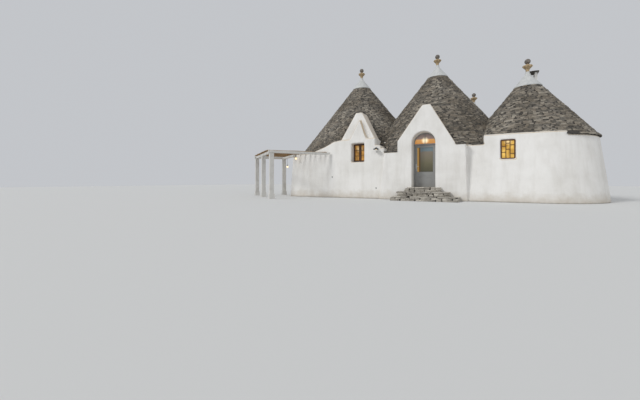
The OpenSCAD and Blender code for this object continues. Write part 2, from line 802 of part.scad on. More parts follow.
// A plate, its stem and its lever, drawn on a face at y = 0 that looks along -y
module lever() {
    block(-plate_half, plate_half, -plate_t, 0, -plate_half_h, plate_half_h);
    translate([0, -plate_t, 0]) rotate([90, 0, 0]) cylinder(h = stem_l, r = stem_r);
    block(-stem_r - 1, lever_l, -stem_l - 14, -stem_l + 2, -stem_r, stem_r);
}

// Levers on both faces of the leaf
module door_handle() color("silver") {
    translate([handle_x, leaf_y, handle_z]) lever();
    translate([handle_x, leaf_back, handle_z]) mirror([0, 1, 0]) lever();
}

// A window's outer frame
module win_frame(x0, x1, y0, z0, z1) difference() {
    block(x0, x1, y0, y0 + win_frame_d, z0, z1);
    block(x0 + win_frame_w, x1 - win_frame_w, y0 - eps, y0 + win_frame_d + eps,
          z0 + win_frame_w, z1 - win_frame_w);
}

// A level glazing bar in front of the pane
module level_bar(x0, x1, y0, z)
    block(x0, x1, y0 + glass_in - bar_d, y0 + glass_in, z - glaze_bar_w / 2, z + glaze_bar_w / 2);

// An upright glazing bar of a given width
module upright_bar(x, w, y0, z0, z1)
    block(x - w / 2, x + w / 2, y0 + glass_in - bar_d, y0 + glass_in, z0, z1);

// Two casements that meet in the middle, each with two level bars
module left_window_frame() color("saddlebrown") {
    x0 = left_win_x0 + win_frame_w;
    x1 = left_win_x1 - win_frame_w;
    z0 = left_win_z0 + win_frame_w;
    z1 = left_win_z1 - win_frame_w;
    win_frame(left_win_x0, left_win_x1, left_win_y, left_win_z0, left_win_z1);
    upright_bar((x0 + x1) / 2, meeting_stile_w, left_win_y, z0, z1);
    for (i = [1, 2])
        level_bar(x0, x1, left_win_y, z0 + i * (z1 - z0) / 3);
}

// Three lights side by side, whose level bars stand at different heights
module right_window_frame() color("saddlebrown") {
    x0 = right_win_x0 + win_frame_w;
    x1 = right_win_x1 - win_frame_w;
    z0 = right_win_z0 + win_frame_w;
    z1 = right_win_z1 - win_frame_w;
    light_w = (x1 - x0) / 3;
    win_frame(right_win_x0, right_win_x1, right_win_y, right_win_z0, right_win_z1);
    for (i = [1, 2])
        upright_bar(x0 + i * light_w, glaze_bar_w, right_win_y, z0, z1);
    for (i = [0 : 2])
        for (share = bar_shares[i])
            level_bar(x0 + i * light_w, x0 + (i + 1) * light_w, right_win_y, z0 + share * (z1 - z0));
}

module back_window_hole(x, y0, y1)
    block(x - rear_win_half, x + rear_win_half, y0, y1, rear_win_z0, rear_win_z1);

module rear_window_frames() color("saddlebrown")
    for (w = rear_windows)
        win_frame(w[0] - rear_win_half, w[0] + rear_win_half, w[1] - win_frame_d,
                  rear_win_z0, rear_win_z1);

// One tier of the entrance steps, wider and deeper the lower it lies
module tier(i)
    block(-step_half[i] + step_shift * i, step_half[i] + step_shift * i, -step_d * (i + 1), 0,
          step_h * (2 - i), i == 0 ? floor_z : step_h * (3 - i));

module step_top() color("gray") tier(0);
module step_middle() color("gray") tier(1);
module step_bottom() color("gray") tier(2);

// The pergola is drawn along its own sides and then turned into its place
module pergola_place()
    translate([pergola_x, pergola_y, 0]) rotate([0, 0, pergola_turn]) children();

// In the pergola's own frame X runs along the front beam to the house, Y along the outer side
post_places = [[0, 0], [0, pergola_len / 2], [0, pergola_len], [pergola_inner, pergola_len]];

module pergola_posts() color("white") pergola_place()
    for (p = post_places) translate([p[0], p[1], 0]) {
        translate([-post_w / 2, -post_w / 2, 0]) cube([post_w, post_w, beam_z]);
        translate([-plinth_w / 2, -plinth_w / 2, 0]) cube([plinth_w, plinth_w, plinth_h]);
    }

module pergola_beams() color("white") difference() {
    pergola_place() {
        translate([-beam_w / 2, -beam_over, beam_z])
            cube([beam_w, pergola_len + 2 * beam_over, beam_h]);
        translate([-beam_over, -beam_w / 2, beam_z])
            cube([pergola_w + into_wall, beam_w, beam_h]);
        translate([-beam_over, pergola_len - beam_w / 2, beam_z])
            cube([pergola_inner + 2 * beam_over, beam_w, beam_h]);
        translate([pergola_inner - beam_w / 2, inner_beam_y0, beam_z])
            cube([beam_w, pergola_len - inner_beam_y0 + beam_over, beam_h]);
    }
    prism_y(left_wall_outline, left_wall_y, front_back);
    cone(left_x, big_cone_y, big_apex_z, big_eave_z);
}

// Where a slat at a distance along the outer side meets the house or the inner beam
function slat_end(s) =
    max(pergola_inner + slat_over, pergola_w + slat_over - s * tan(90 - pergola_turn));

module pergola_slats() color("peru") difference() {
    pergola_place()
        for (i = [1 : slat_n]) {
            s = i * pergola_len / (slat_n + 1);
            translate([-slat_over, s, beam_z + beam_h + slat_d / 2]) rotate([0, 90, 0])
                cylinder(h = slat_end(s) + slat_over, r = slat_d / 2);
        }
    prism_y(left_wall_outline, left_wall_y, front_back);
    cone(left_x, big_cone_y, big_apex_z, big_eave_z);
}

floor();
threshold();
entrance_pier_left();
entrance_pier_right();
entrance_gable();
left_front_wall();
left_pediment();
left_back_gable();
left_drum_west();
left_drum_back();
middle_drum_back();
rear_drum_left();
rear_drum_back();
rear_drum_right();
party_wall_left();
party_wall_right();
party_wall_rear();
link_wall();
right_front_wall();
right_drum_front();
right_drum_side();
right_drum_back();
roof_left();
roof_middle();
roof_right();
roof_rear();
roof_caps();
pinnacles();
chimney();
cover_slabs();
door_frame();
fanlight_frame();
window_glass();
door_leaf();
door_glass();
door_handle();
left_window_frame();
right_window_frame();
rear_window_frames();
step_bottom();
step_middle();
step_top();
pergola_posts();
pergola_beams();
pergola_slats();
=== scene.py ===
"""Looks of a trullo house: dry-stone cones, lime-washed walls, joinery, steps and pergola."""

import logging
import math
from collections.abc import Callable, Sequence
from dataclasses import dataclass
from enum import Enum
from functools import partial

import bmesh
import bpy
from bpy.types import Material, Node, NodeSocket, NodeTree, Object, Scene
from mathutils import Matrix, Vector, noise


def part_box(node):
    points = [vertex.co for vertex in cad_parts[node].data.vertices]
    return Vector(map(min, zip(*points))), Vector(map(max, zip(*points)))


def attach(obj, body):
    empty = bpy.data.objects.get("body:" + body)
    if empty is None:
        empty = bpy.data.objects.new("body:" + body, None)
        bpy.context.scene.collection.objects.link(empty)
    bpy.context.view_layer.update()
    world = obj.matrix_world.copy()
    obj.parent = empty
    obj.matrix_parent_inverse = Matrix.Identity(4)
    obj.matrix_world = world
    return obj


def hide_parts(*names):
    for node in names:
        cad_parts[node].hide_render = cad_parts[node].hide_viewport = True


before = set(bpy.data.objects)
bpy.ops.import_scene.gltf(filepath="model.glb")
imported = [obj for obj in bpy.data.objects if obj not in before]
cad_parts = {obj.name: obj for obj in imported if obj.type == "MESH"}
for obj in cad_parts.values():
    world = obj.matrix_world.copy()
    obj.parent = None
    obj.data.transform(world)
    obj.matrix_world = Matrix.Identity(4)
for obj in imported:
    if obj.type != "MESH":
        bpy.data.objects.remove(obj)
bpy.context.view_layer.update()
LOG = logging.getLogger("trullo")

Triple = tuple[float, float, float]
Stops = tuple[tuple[float, str], ...]

# add_node() with its tree filled in
Adder = Callable[..., Node]

# Blender's type names of the nodes that are used more than once
ATTRIBUTE = "ShaderNodeAttribute"
BUMP = "ShaderNodeBump"
COMBINE = "ShaderNodeCombineXYZ"
COORDINATES = "ShaderNodeTexCoord"
INDEX = "GeometryNodeInputIndex"
INSTANCES = "GeometryNodeInstanceOnPoints"
MAP_RANGE = "ShaderNodeMapRange"
MATH = "ShaderNodeMath"
MIX = "ShaderNodeMix"
NOISE = "ShaderNodeTexNoise"
POINTS = "GeometryNodePoints"
POSITION = "GeometryNodeInputPosition"
RAMP = "ShaderNodeValToRGB"
RANDOM = "FunctionNodeRandomValue"
SEPARATE = "ShaderNodeSeparateXYZ"
SET_POSITION = "GeometryNodeSetPosition"
VECTOR_MATH = "ShaderNodeVectorMath"

# The photograph's frame and the camera fitted to it
PHOTO_WIDTH_PX = 640
PHOTO_HEIGHT_PX = 400
FOCAL_PX = 295.0
SENSOR_MM = 36.0
CAMERA_PLACE = Vector((2.16, -14.42, 0.88))
CAMERA_YAW_DEG = 27.8
HORIZON_PX = 181.4

# Run over rise of the frame's cones, and the height of their caps in metres
CONE_SLOPE = 0.78
CAP_HEIGHT = 0.72

# Edges sharper than this stay sharp in the shading
SHARP_DEG = 35.0

FRONT_WALLS = (
    "entrance_pier_left", "entrance_pier_right", "entrance_gable", "left_front_wall", "left_pediment",
    "left_back_gable", "link_wall", "right_front_wall", "right_drum_front",
)
WALLS = FRONT_WALLS + (
    "left_drum_west", "left_drum_back", "middle_drum_back", "rear_drum_left", "rear_drum_back",
    "rear_drum_right", "party_wall_left", "party_wall_right", "party_wall_rear", "right_drum_side",
    "right_drum_back",
)


class Body(Enum):
    """The bodies of the frame that pieces ride on."""

    HOUSE = "house"
    DOOR = "door"


def srgb(code: str) -> tuple[float, float, float, float]:
    """Turns an sRGB hex code into the linear colour that a shader takes.

    Args:
        code: Six hex digits.

    Returns:
        Linear red, green, blue and an alpha of 1.
    """
    channels = [int(code[i:i + 2], 16) / 255 for i in (0, 2, 4)]
    linear = [c / 12.92 if c <= 0.04045 else ((c + 0.055) / 1.055) ** 2.4 for c in channels]
    return (linear[0], linear[1], linear[2], 1.0)


def feed(node: Node, inputs: dict) -> None:
    """Feeds inputs of a node.

    Args:
        node: The node.
        inputs: An input's name, or its number among the live ones, to a plain value, to a socket, or to
            a node whose first live output feeds it. None leaves the input as it is.
    """
    live = [socket for socket in node.inputs if socket.enabled]
    for key, value in inputs.items():
        socket = live[key] if isinstance(key, int) else node.inputs[key]
        if isinstance(value, Node):
            value = next(output for output in value.outputs if output.enabled)
        if isinstance(value, NodeSocket):
            node.id_data.links.new(value, socket)
        elif value is not None:
            socket.default_value = value


def add_node(tree: NodeTree, kind: str, *values: object, named: dict | None = None, stops: Stops = (),
             **settings: object) -> Node:
    """Adds one node, with its settings and its links.

    Args:
        tree: The shader or geometry tree that gets the node.
        kind: Blender's type name of the node.
        *values: What feeds its live inputs in their order, as feed() takes it.
        named: What feeds inputs by their names.
        stops: Position and hex colour of each stop of a colour ramp, from low to high.
        **settings: Properties of the node itself.

    Returns:
        The new node.
    """
    made = tree.nodes.new(kind)
    for name, value in settings.items():
        setattr(made, name, value)
    band = made.color_ramp.elements if stops else ()
    while len(band) < len(stops):
        band.new(0.5)
    for element, (place, code) in zip(band, stops):
        element.position = place
        element.color = srgb(code)
    feed(made, dict(enumerate(values)) | (named or {}))
    return made


@dataclass(frozen=True)
class Grain:
    """A noise pattern on Object coordinates.

    Attributes:
        size_mm: Real size of its largest features.
        detail: Number of finer layers.
        rough: Strength of the finer layers.
        stretch: How much longer the features are along each axis.
    """

    size_mm: float
    detail: float = 3.0
    rough: float = 0.55
    stretch: Triple = (1.0, 1.0, 1.0)

    def draw(self, add: Adder) -> Node:
        """Adds the pattern and returns its noise node."""
        scale = tuple(1.0 / share for share in self.stretch)
        mapped = add("ShaderNodeMapping", add(COORDINATES).outputs["Object"], named={"Scale": scale})
        return add(NOISE, mapped, 1000.0 / self.size_mm, self.detail, self.rough)

    def emboss(self, add: Adder, depth_mm: float, under: Node | None = None) -> Node:
        """Adds a bump of this pattern and a real depth, over a coarser bump where one is given."""
        return add(BUMP, named={"Height": self.draw(add), "Distance": depth_mm / 1000.0, "Normal": under})


@dataclass(frozen=True)
class Finish:
    """A surface finish: its name, the record's slot that it stands for, and its shader."""

    name: str
    slot: str

    def material(self) -> Material:
        """Returns the finish's material, made once."""
        known = bpy.data.materials.get(self.name)
        if known is not None:
            return known
        made = bpy.data.materials.new(self.name)
        made.use_nodes = True
        feed(made.node_tree.nodes["Principled BSDF"], self.paint(partial(add_node, made.node_tree)))
        return made

    def paint(self, add: Adder) -> dict:
        """Adds the pattern's nodes and returns what the Principled shader gets; each kind has its own."""
        raise NotImplementedError


@dataclass(frozen=True)
class Grained(Finish):
    """A finish with one coloured pattern and one relief.

    Attributes:
        grain: The pattern that carries the colours.
        colours: The pattern's stops.
        roughness: Roughness of the surface.
        relief_mm: Real depth of the relief, 0 for none.
        relief: The relief's pattern, the coloured one if left out.
        metallic: 1 for bare metal.
        tones: Stops of the tone that each piece has on its mesh, if it has one.
        cover: How much of the tone the pattern covers.
        glow: Strength of its own light.
    """

    grain: Grain
    colours: Stops
    roughness: float
    relief_mm: float = 0.0
    relief: Grain | None = None
    metallic: float = 0.0
    tones: Stops = ()
    cover: float = 0.4
    glow: float = 0.0

    def paint(self, add: Adder) -> dict:
        """The pattern's colours, over the piece's own tone, with the relief and the glow."""
        colour = add(RAMP, self.grain.draw(add), stops=self.colours)
        if self.tones:
            tone = add(RAMP, add(ATTRIBUTE, attribute_name="tone").outputs["Fac"], stops=self.tones)
            colour = add(MIX, self.cover, tone, colour, data_type="RGBA")
        pressed = (self.relief or self.grain).emboss(add, self.relief_mm) if self.relief_mm else None
        return {
            "Base Color": colour, "Metallic": self.metallic, "Roughness": self.roughness, "Normal": pressed,
            "Emission Color": colour if self.glow else None, "Emission Strength": self.glow,
        }


@dataclass(frozen=True)
class LimeWash(Finish):
    """Lime wash over hand-laid plaster: chalky and matt, with warm lamplight painted on its tops and edges,
    and a splashed foot.
    """

    chalk: str = "E9E7E3"
    worn: str = "D8D5CF"
    splash: str = "B9AF9F"
    # Warm tint painted on the faces that look up, standing in for lamplight
    painted_lamplight: str = "C3AE8E"
    splash_height: float = 0.35

    def paint(self, add: Adder) -> dict:
        """Chalk white with worn patches, faint runs of rain, warm light painted on the faces and edges that
        look up, and a stained foot.
        """
        base = add(RAMP, Grain(900.0, 5.0).draw(add), stops=((0.35, self.worn), (0.62, self.chalk)))
        runs = Grain(260.0, 4.0, 0.6, (1.0, 1.0, 6.0)).draw(add)
        rain = add(RAMP, runs, stops=((0.30, self.worn), (0.55, self.chalk)))
        washed = add(MIX, 0.45, base, rain, data_type="RGBA")
        height = add(SEPARATE, add(COORDINATES).outputs["Object"]).outputs[2]
        wave = add(MATH, Grain(300.0, 4.0).draw(add), -0.6, height, operation="MULTIPLY_ADD")
        low = add(MAP_RANGE, wave, -0.35, self.splash_height - 0.2, 0.75, 0.0)
        foot = add(MIX, low, washed, srgb(self.splash), data_type="RGBA")
        # Painted warm light: faces that look up get a warm tint, strongest on their rounded edges as a
        # painted highlight line
        upward = add(SEPARATE, add("ShaderNodeNewGeometry").outputs["Normal"]).outputs[2]
        painted_light_share = add(RAMP, upward, stops=(
            (0.16, "000000"), (0.31, "EDEDED"), (0.46, "A4A4A4"), (0.66, "767676"),
        ))
        lamplit = add(MIX, painted_light_share, foot, srgb(self.painted_lamplight), data_type="RGBA")
        uneven = Grain(420.0).emboss(add, 14.0)
        return {
            "Base Color": lamplit, "Roughness": 0.88, "Specular IOR Level": 0.25,
            "Normal": Grain(28.0, 4.0).emboss(add, 1.6, uneven),
        }


@dataclass(frozen=True)
class SplitLimestone(Finish):
    """Split limestone slabs gone grey with lichen; each stone has its own tone, stored on the mesh."""

    dark: str = "5E5A54"
    grey: str = "827D75"
    brown: str = "978C7D"
    pale: str = "BDB5A7"

    def paint(self, add: Adder) -> dict:
        """One tone a stone, mottled by lichen and darker in its pits."""
        tone = add(ATTRIBUTE, attribute_name="tone").outputs["Fac"]
        body = add(RAMP, tone, stops=(
            (0.0, self.dark), (0.35, self.grey), (0.7, self.brown), (1.0, self.pale),
        ))
        spots = Grain(70.0, 5.0, 0.65).draw(add)
        lichen = add(RAMP, spots, stops=((0.36, "58554F"), (0.55, "8A857B"), (0.72, "ADA79B")))
        mottled = add(MIX, 0.42, body, lichen, data_type="RGBA")
        weather = add(RAMP, Grain(1500.0).draw(add), stops=((0.35, "C9C5C0"), (0.65, "FFFFFF")))
        return {
            "Base Color": add(MIX, 1.0, mottled, weather, data_type="RGBA", blend_type="MULTIPLY"),
            "Roughness": 0.93, "Specular IOR Level": 0.2, "Normal": Grain(35.0, 5.0, 0.7).emboss(add, 6.0),
        }


@dataclass(frozen=True)
class CarvedLimestone(Finish):
    """Carved limestone of a finial: a warm star under a ball that lichen has turned grey."""

    low_tip: float = 6.15
    tip_step: float = 1.475
    ball_foot: float = 0.43
    blend: float = 0.03

    def paint(self, add: Adder) -> dict:
        """Ochre below and grey above; the height over each tip repeats from tip to tip."""
        grain = Grain(80.0, 5.0, 0.65).draw(add)
        star = add(RAMP, grain, stops=((0.3, "84725A"), (0.5, "AB9573"), (0.7, "C6B190")))
        ball = add(RAMP, grain, stops=((0.3, "4E4A46"), (0.5, "726C66"), (0.7, "948C82")))
        height = add(SEPARATE, add(COORDINATES).outputs["Object"]).outputs[2]
        above = add(MATH, height, self.low_tip, operation="SUBTRACT")
        local = add(MATH, above, self.tip_step, operation="MODULO")
        edge = add(MAP_RANGE, local, self.ball_foot - self.blend, self.ball_foot + self.blend)
        return {
            "Base Color": add(MIX, edge, star, ball, data_type="RGBA"),
            "Roughness": 0.9, "Normal": Grain(25.0, 5.0, 0.7).emboss(add, 4.0),
        }


@dataclass(frozen=True)
class WornFlag(Finish):
    """Worn limestone flags of the floor: smooth, cream and slightly polished by feet."""

    flag_width: float = 0.6
    flag_depth: float = 0.4
    joint: float = 0.008

    def paint(self, add: Adder) -> dict:
        """Cream flags in rows, with darker joints between them."""
        flags = add("ShaderNodeTexBrick", add(COORDINATES).outputs["Object"], named={
            "Color1": srgb("B4AA98"), "Color2": srgb("A59A86"), "Mortar": srgb("6E665A"), "Scale": 1.0,
            "Mortar Size": self.joint, "Brick Width": self.flag_width, "Row Height": self.flag_depth,
        })
        return {"Base Color": flags, "Roughness": 0.6, "Normal": Grain(120.0).emboss(add, 3.0)}


@dataclass(frozen=True)
class LitPane(Finish):
    """Old float glass with a lamp-lit room behind it: an amber glow with the folds of a thin curtain."""

    dim: str = "A5792B"
    bright: str = "EBC060"
    glow: float = 0.35
    lamp: Triple = (3.39, 0.52, 2.60)
    halo: float = 0.17

    def paint(self, add: Adder) -> dict:
        """Upright folds over a slow drift of light and a lamp's halo, under a glossy face."""
        folds = Grain(70.0, 2.0, 0.5, (1.0, 1.0, 12.0)).draw(add)
        level = add(MATH, folds, 0.35, Grain(500.0, 2.0).draw(add), operation="MULTIPLY_ADD")
        curtain = add(RAMP, level, stops=((0.5, self.dim), (0.85, self.bright)))
        apart = add(VECTOR_MATH, add(COORDINATES).outputs["Object"], self.lamp, operation="DISTANCE")
        near = add(MAP_RANGE, apart, 0.02, self.halo, 0.9, 0.0)
        light = add(MIX, near, curtain, srgb("FFE2A6"), data_type="RGBA")
        return {
            "Base Color": light, "Emission Color": light, "Emission Strength": self.glow, "Roughness": 0.12,
        }


@dataclass(frozen=True)
class FanPane(Finish):
    """Glass of the fanlight: the evening sky above, and a lamp's light on the wall behind it below."""

    foot: float = 2.70
    height: float = 0.5
    lit_height: float = 0.23
    lamp: Triple = (0.0, 0.6, 2.86)

    def paint(self, add: Adder) -> dict:
        """Mauve grey over a lit band, with a bright spot where the lamp hangs."""
        place = add(COORDINATES).outputs["Object"]
        level = add(SEPARATE, place).outputs[2]
        share = add(MAP_RANGE, level, self.foot, self.foot + self.height)
        top = self.lit_height / self.height
        sky = add(RAMP, share, stops=(
            (0.0, "D9924A"), (top - 0.08, "EBB068"), (top + 0.04, "A68F86"), (1.0, "8A7D7C"),
        ))
        apart = add(VECTOR_MATH, place, self.lamp, operation="DISTANCE")
        near = add(MAP_RANGE, apart, 0.05, 0.19, 1.0, 0.0)
        face = add(MIX, near, sky, srgb("FFF2CC"), data_type="RGBA")
        band = add(MAP_RANGE, share, top - 0.04, top + 0.04, 0.35, 0.2)
        power = add(MATH, near, 0.5, band, operation="MULTIPLY_ADD")
        return {"Base Color": face, "Emission Color": face, "Emission Strength": power, "Roughness": 0.1}


@dataclass(frozen=True)
class DoorPane(Finish):
    """Door glass that mirrors the dusk sky, with the dim room and a lit strip of it on the left."""

    low: float = 1.33
    high: float = 2.54
    strip_start: float = -0.374
    strip_width: float = 0.17

    def paint(self, add: Adder) -> dict:
        """Olive at the foot, taupe in the middle, blue grey at the top, and fading amber on the left."""
        place = add(SEPARATE, add(COORDINATES).outputs["Object"]).outputs
        share = add(MAP_RANGE, place[2], self.low, self.high)
        wavy = add(MATH, Grain(600.0, 2.0).draw(add), 0.2, share, operation="MULTIPLY_ADD")
        room = add(RAMP, wavy, stops=((0.1, "55523F"), (0.45, "6F6A52"), (0.9, "857C6E"), (0.95, "76868B")))
        side = add(MAP_RANGE, place[0], self.strip_start, self.strip_start + self.strip_width, 1.0, 0.0)
        strip = add(RAMP, side, stops=((0.1, "66502F"), (0.5, "7E5A28"), (0.62, "C89A4C"), (1.0, "D0A255")))
        face = add(MIX, add(MAP_RANGE, side, 0.0, 0.2), room, strip, data_type="RGBA")
        power = add(MATH, side, 0.25, 0.03, operation="MULTIPLY_ADD")
        return {"Base Color": face, "Emission Color": face, "Emission Strength": power, "Roughness": 0.08}


LIME = LimeWash("lime_wash", "lime_plaster")
SLATE = SplitLimestone("split_limestone", "roof_stone")
CARVED = CarvedLimestone("carved_limestone", "carved_stone")
FLAG = WornFlag("worn_flag", "floor_stone")
YELLOW_PANE = LitPane("lit_pane", "glass")
AMBER_PANE = LitPane("amber_pane", "glass", dim="7E5420", bright="DDA552", lamp=(-3.36, 0.63, 2.62), halo=0.2)
FAN_PANE = FanPane("fan_pane", "glass")
DOOR_GLASS = DoorPane("door_pane", "glass")

# Trowelled lime of the caps: denser and greyer than the walls, with soft runs of rain down the slope
CAP = Grained(
    "trowelled_cap", "cap_plaster", Grain(130.0, 3.0, 0.5, (1.0, 1.0, 6.0)),
    ((0.30, "B3B5B4"), (0.6, "C3C4C2")), roughness=0.8, relief_mm=1.5, relief=Grain(160.0, 2.0),
)
# The imported stone behind the outer slabs, seen only in the joints: painted dark as the shade in the gaps
# between slabs, with a little grit
GAP_SHADE = Grained("painted_gap_shade", "roof_stone", Grain(60.0), ((0.3, "2F2C29"), (0.7, "4C4842")), roughness=1.0)
# Thin limestone slab on a ledge: dark grey from standing water, with paler edges of lichen
SLAB = Grained(
    "weathered_slab", "slab_stone", Grain(110.0, 5.0, 0.6),
    ((0.3, "2F2D2B"), (0.52, "55514B"), (0.75, "8A847A")),
    roughness=0.9, relief_mm=6.0, relief=Grain(40.0, 5.0, 0.6),
)
# Rough field limestone of the steps: pale grey to buff, one tone a stone, with dark pits
STEP = Grained(
    "field_stone", "step_stone", Grain(55.0, 5.0, 0.65), ((0.35, "625D55"), (0.6, "C3BDB1")),
    roughness=0.92, relief_mm=7.0, relief=Grain(30.0, 5.0, 0.7),
    tones=((0.0, "6E6961"), (0.5, "9C968C"), (1.0, "CCC6BA")),
)
# Satin paint on the door's metal profiles: an even taupe with a breath of dust
DOOR_PAINT = Grained(
    "door_paint", "door_paint", Grain(300.0, 4.0), ((0.3, "48423E"), (0.7, "544D48")),
    roughness=0.45, relief_mm=0.15, relief=Grain(4.0, 2.0),
)
# Brushed stainless steel of the handle: bright, with lines 2 mm apart, coarser than real ones to show
STEEL = Grained(
    "brushed_steel", "door_metal", Grain(2.0, 2.0, 0.5, (12.0, 1.0, 1.0)), ((0.3, "C4C5C4"), (0.7, "DFDFDC")),
    roughness=0.42, relief_mm=0.05, metallic=1.0,
)
# Dark-stained softwood of the windows: chestnut brown, with grain 6 mm wide along the bars
WOOD = Grained(
    "stained_wood", "window_wood", Grain(6.0, 4.0, 0.6, (1.0, 1.0, 14.0)), ((0.3, "41281A"), (0.7, "664227")),
    roughness=0.55, relief_mm=0.6,
)
# White paint on squared timber: chalked by the sun with faint grey wear, the grain showing through
WHITE_WOOD = Grained(
    "white_painted_wood", "pergola_paint", Grain(350.0, 4.0, 0.5), ((0.25, "BDBAB4"), (0.5, "CFCDC8")),
    roughness=0.75, relief_mm=0.8, relief=Grain(14.0, 4.0, 0.6, (1.0, 1.0, 9.0)),
)
# Bare poles: sun-bleached, brown to straw-coloured, one tone a pole, with flecks of bark
CANE = Grained(
    "bare_cane", "pergola_cane", Grain(45.0, 5.0, 0.6), ((0.3, "4E3A27"), (0.7, "A98A63")),
    roughness=0.8, relief_mm=2.0, relief=Grain(30.0, 4.0),
    tones=((0.0, "6B4F33"), (0.5, "8D6E4A"), (1.0, "B39468")),
)
# Powder-coated cast metal of the small fittings: charcoal and a little dusty, with a fine orange peel
METAL = Grained(
    "cast_metal", "door_metal", Grain(60.0), ((0.3, "2B2B2C"), (0.7, "3E3D3B")),
    roughness=0.5, relief_mm=0.1, relief=Grain(3.0), metallic=0.6,
)
# Opal glass of a lit bulb: warm white, uneven like blown glass
LAMP = Grained(
    "lamp_glass", "glass", Grain(40.0, 2.0), ((0.3, "FFD08A"), (0.7, "FFE6B8")), roughness=0.3, glow=1.4,
)


def link(name: str, data: bpy.types.ID) -> Object:
    """Puts a mesh, a lamp or a camera into the scene.

    Args:
        name: Name of the new object.
        data: The mesh, lamp or camera.

    Returns:
        The object, at the origin.
    """
    made = bpy.data.objects.new(name, data)
    bpy.context.scene.collection.objects.link(made)
    return made


def bake(name: str, source: Object) -> Object:
    """Turns an object with modifiers into a plain mesh object and drops the first one.

    Args:
        name: Name of the plain object.
        source: The object with modifiers.

    Returns:
        The plain object.
    """
    graph = bpy.context.evaluated_depsgraph_get()
    mesh = bpy.data.meshes.new_from_object(source.evaluated_get(graph), depsgraph=graph)
    bpy.data.objects.remove(source)
    return link(name, mesh)


class Growth:
    """A geometry tree that grows one kind of piece, with the steps that several trees share."""

    def __init__(self, name: str, **inputs: tuple[str, ...]) -> None:
        """Makes a tree with named inputs, to which a seed and a material are added, and a geometry output.

        Args:
            name: The tree's name.
            **inputs: Kind of input, which is the end of its socket's type name, to the inputs' names.
        """
        self.tree = bpy.data.node_groups.new(name, "GeometryNodeTree")
        face = self.tree.interface
        for kind, labels in (*inputs.items(), ("Int", ("Seed",)), ("Material", ("Material",))):
            for label in labels:
                face.new_socket(name=label, in_out="INPUT", socket_type=f"NodeSocket{kind}")
        face.new_socket(name="Geometry", in_out="OUTPUT", socket_type="NodeSocketGeometry")
        self.add: Adder = partial(add_node, self.tree)
        self.group = self.add("NodeGroupInput").outputs

    def grow(self, name: str, values: dict) -> Object:
        """Runs the tree and keeps its result as a plain mesh object.

        Args:
            name: The new object's name.
            values: Input name to value.

        Returns:
            A mesh object at the origin, with no modifier.
        """
        holder = link(name + "_seed", bpy.data.meshes.new(name + "_seed"))
        modifier = holder.modifiers.new("stones", "NODES")
        modifier.node_group = self.tree
        for item in self.tree.interface.items_tree:
            if item.in_out == "INPUT":
                modifier[item.identifier] = values[item.name]
        return bake(name, holder)

    def stray(self, scale: float) -> Node:
        """Adds a noise vector whose parts lie round 0, for moving points."""
        colour = self.add(NOISE, named={"Scale": scale, "Detail": 1.0}).outputs[1]
        return self.add(VECTOR_MATH, colour, (0.5, 0.5, 0.5), operation="SUBTRACT")

    def make_real(self, laid: Node) -> Node:
        """Stores a tone from 0 to 1 on each instance and makes the instances real."""
        named = {"Name": "tone", "Value": self.add(RANDOM, 0.0, 1.0, named={"Seed": self.group["Seed"]})}
        toned = self.add("GeometryNodeStoreNamedAttribute", laid, named=named, domain="INSTANCE")
        return self.add("GeometryNodeRealizeInstances", toned)

    def end(self, shape: Node) -> None:
        """Gives the shape its material and ends the tree."""
        dressed = self.add("GeometryNodeSetMaterial", shape, named={"Material": self.group["Material"]})
        self.add("NodeGroupOutput", dressed).is_active_output = True

    def stone_block(self, lean: float, bulge: float = 0.22) -> Node:
        """Adds one rough slab of unit size whose outer face bulges and leans back.

        Args:
            lean: How far the outer face leans back from its foot to its head.
            bulge: How strongly it is rounded.

        Returns:
            The node that gives the slab; its outer face looks along +Y.
        """
        add = self.add
        cube = add("GeometryNodeMeshCube", (1.0, 1.0, 1.0), 3, 2, 3)
        x, y, z = add(SEPARATE, add(POSITION)).outputs
        across = add(MATH, x, x, operation="MULTIPLY")
        square = add(MATH, z, z, across, operation="MULTIPLY_ADD")
        sunk = add(MATH, square, -bulge, operation="MULTIPLY")
        slant = add(MATH, z, -lean, sunk, operation="MULTIPLY_ADD")
        front = add(MATH, y, 0.5, operation="ADD")
        shift = add(MATH, slant, front, operation="MULTIPLY")
        return add(SET_POSITION, cube, named={"Offset": add(COMBINE, None, shift)})

    def set_stones(self, points: Node, turn: Sequence, sizes: Sequence, spread: tuple[Triple, Triple],
                   lean: float, chip: float) -> None:
        """Sets a stone on each point, gives it a tone, chips the stones and ends the tree.

        The noise that moves the corners keeps within about a quarter of its range, hence four times the
        chip.

        Args:
            points: The points.
            turn: What gives a stone's three angles.
            sizes: What gives its length, depth and height.
            spread: Lowest and highest share of these sizes.
            lean: How far its outer face leans back.
            chip: How far a corner may be chipped, in metres.
        """
        add = self.add
        share = add(RANDOM, *spread, named={"Seed": self.group["Seed"]}, data_type="FLOAT_VECTOR")
        real = self.make_real(add(INSTANCES, points, named={
            "Instance": self.stone_block(lean), "Rotation": add(COMBINE, *turn),
            "Scale": add(VECTOR_MATH, share, add(COMBINE, *sizes), operation="MULTIPLY"),
        }))
        broken = add(VECTOR_MATH, self.stray(11.0), chip * 4.0, operation="SCALE")
        self.end(add(SET_POSITION, real, named={"Offset": broken}))


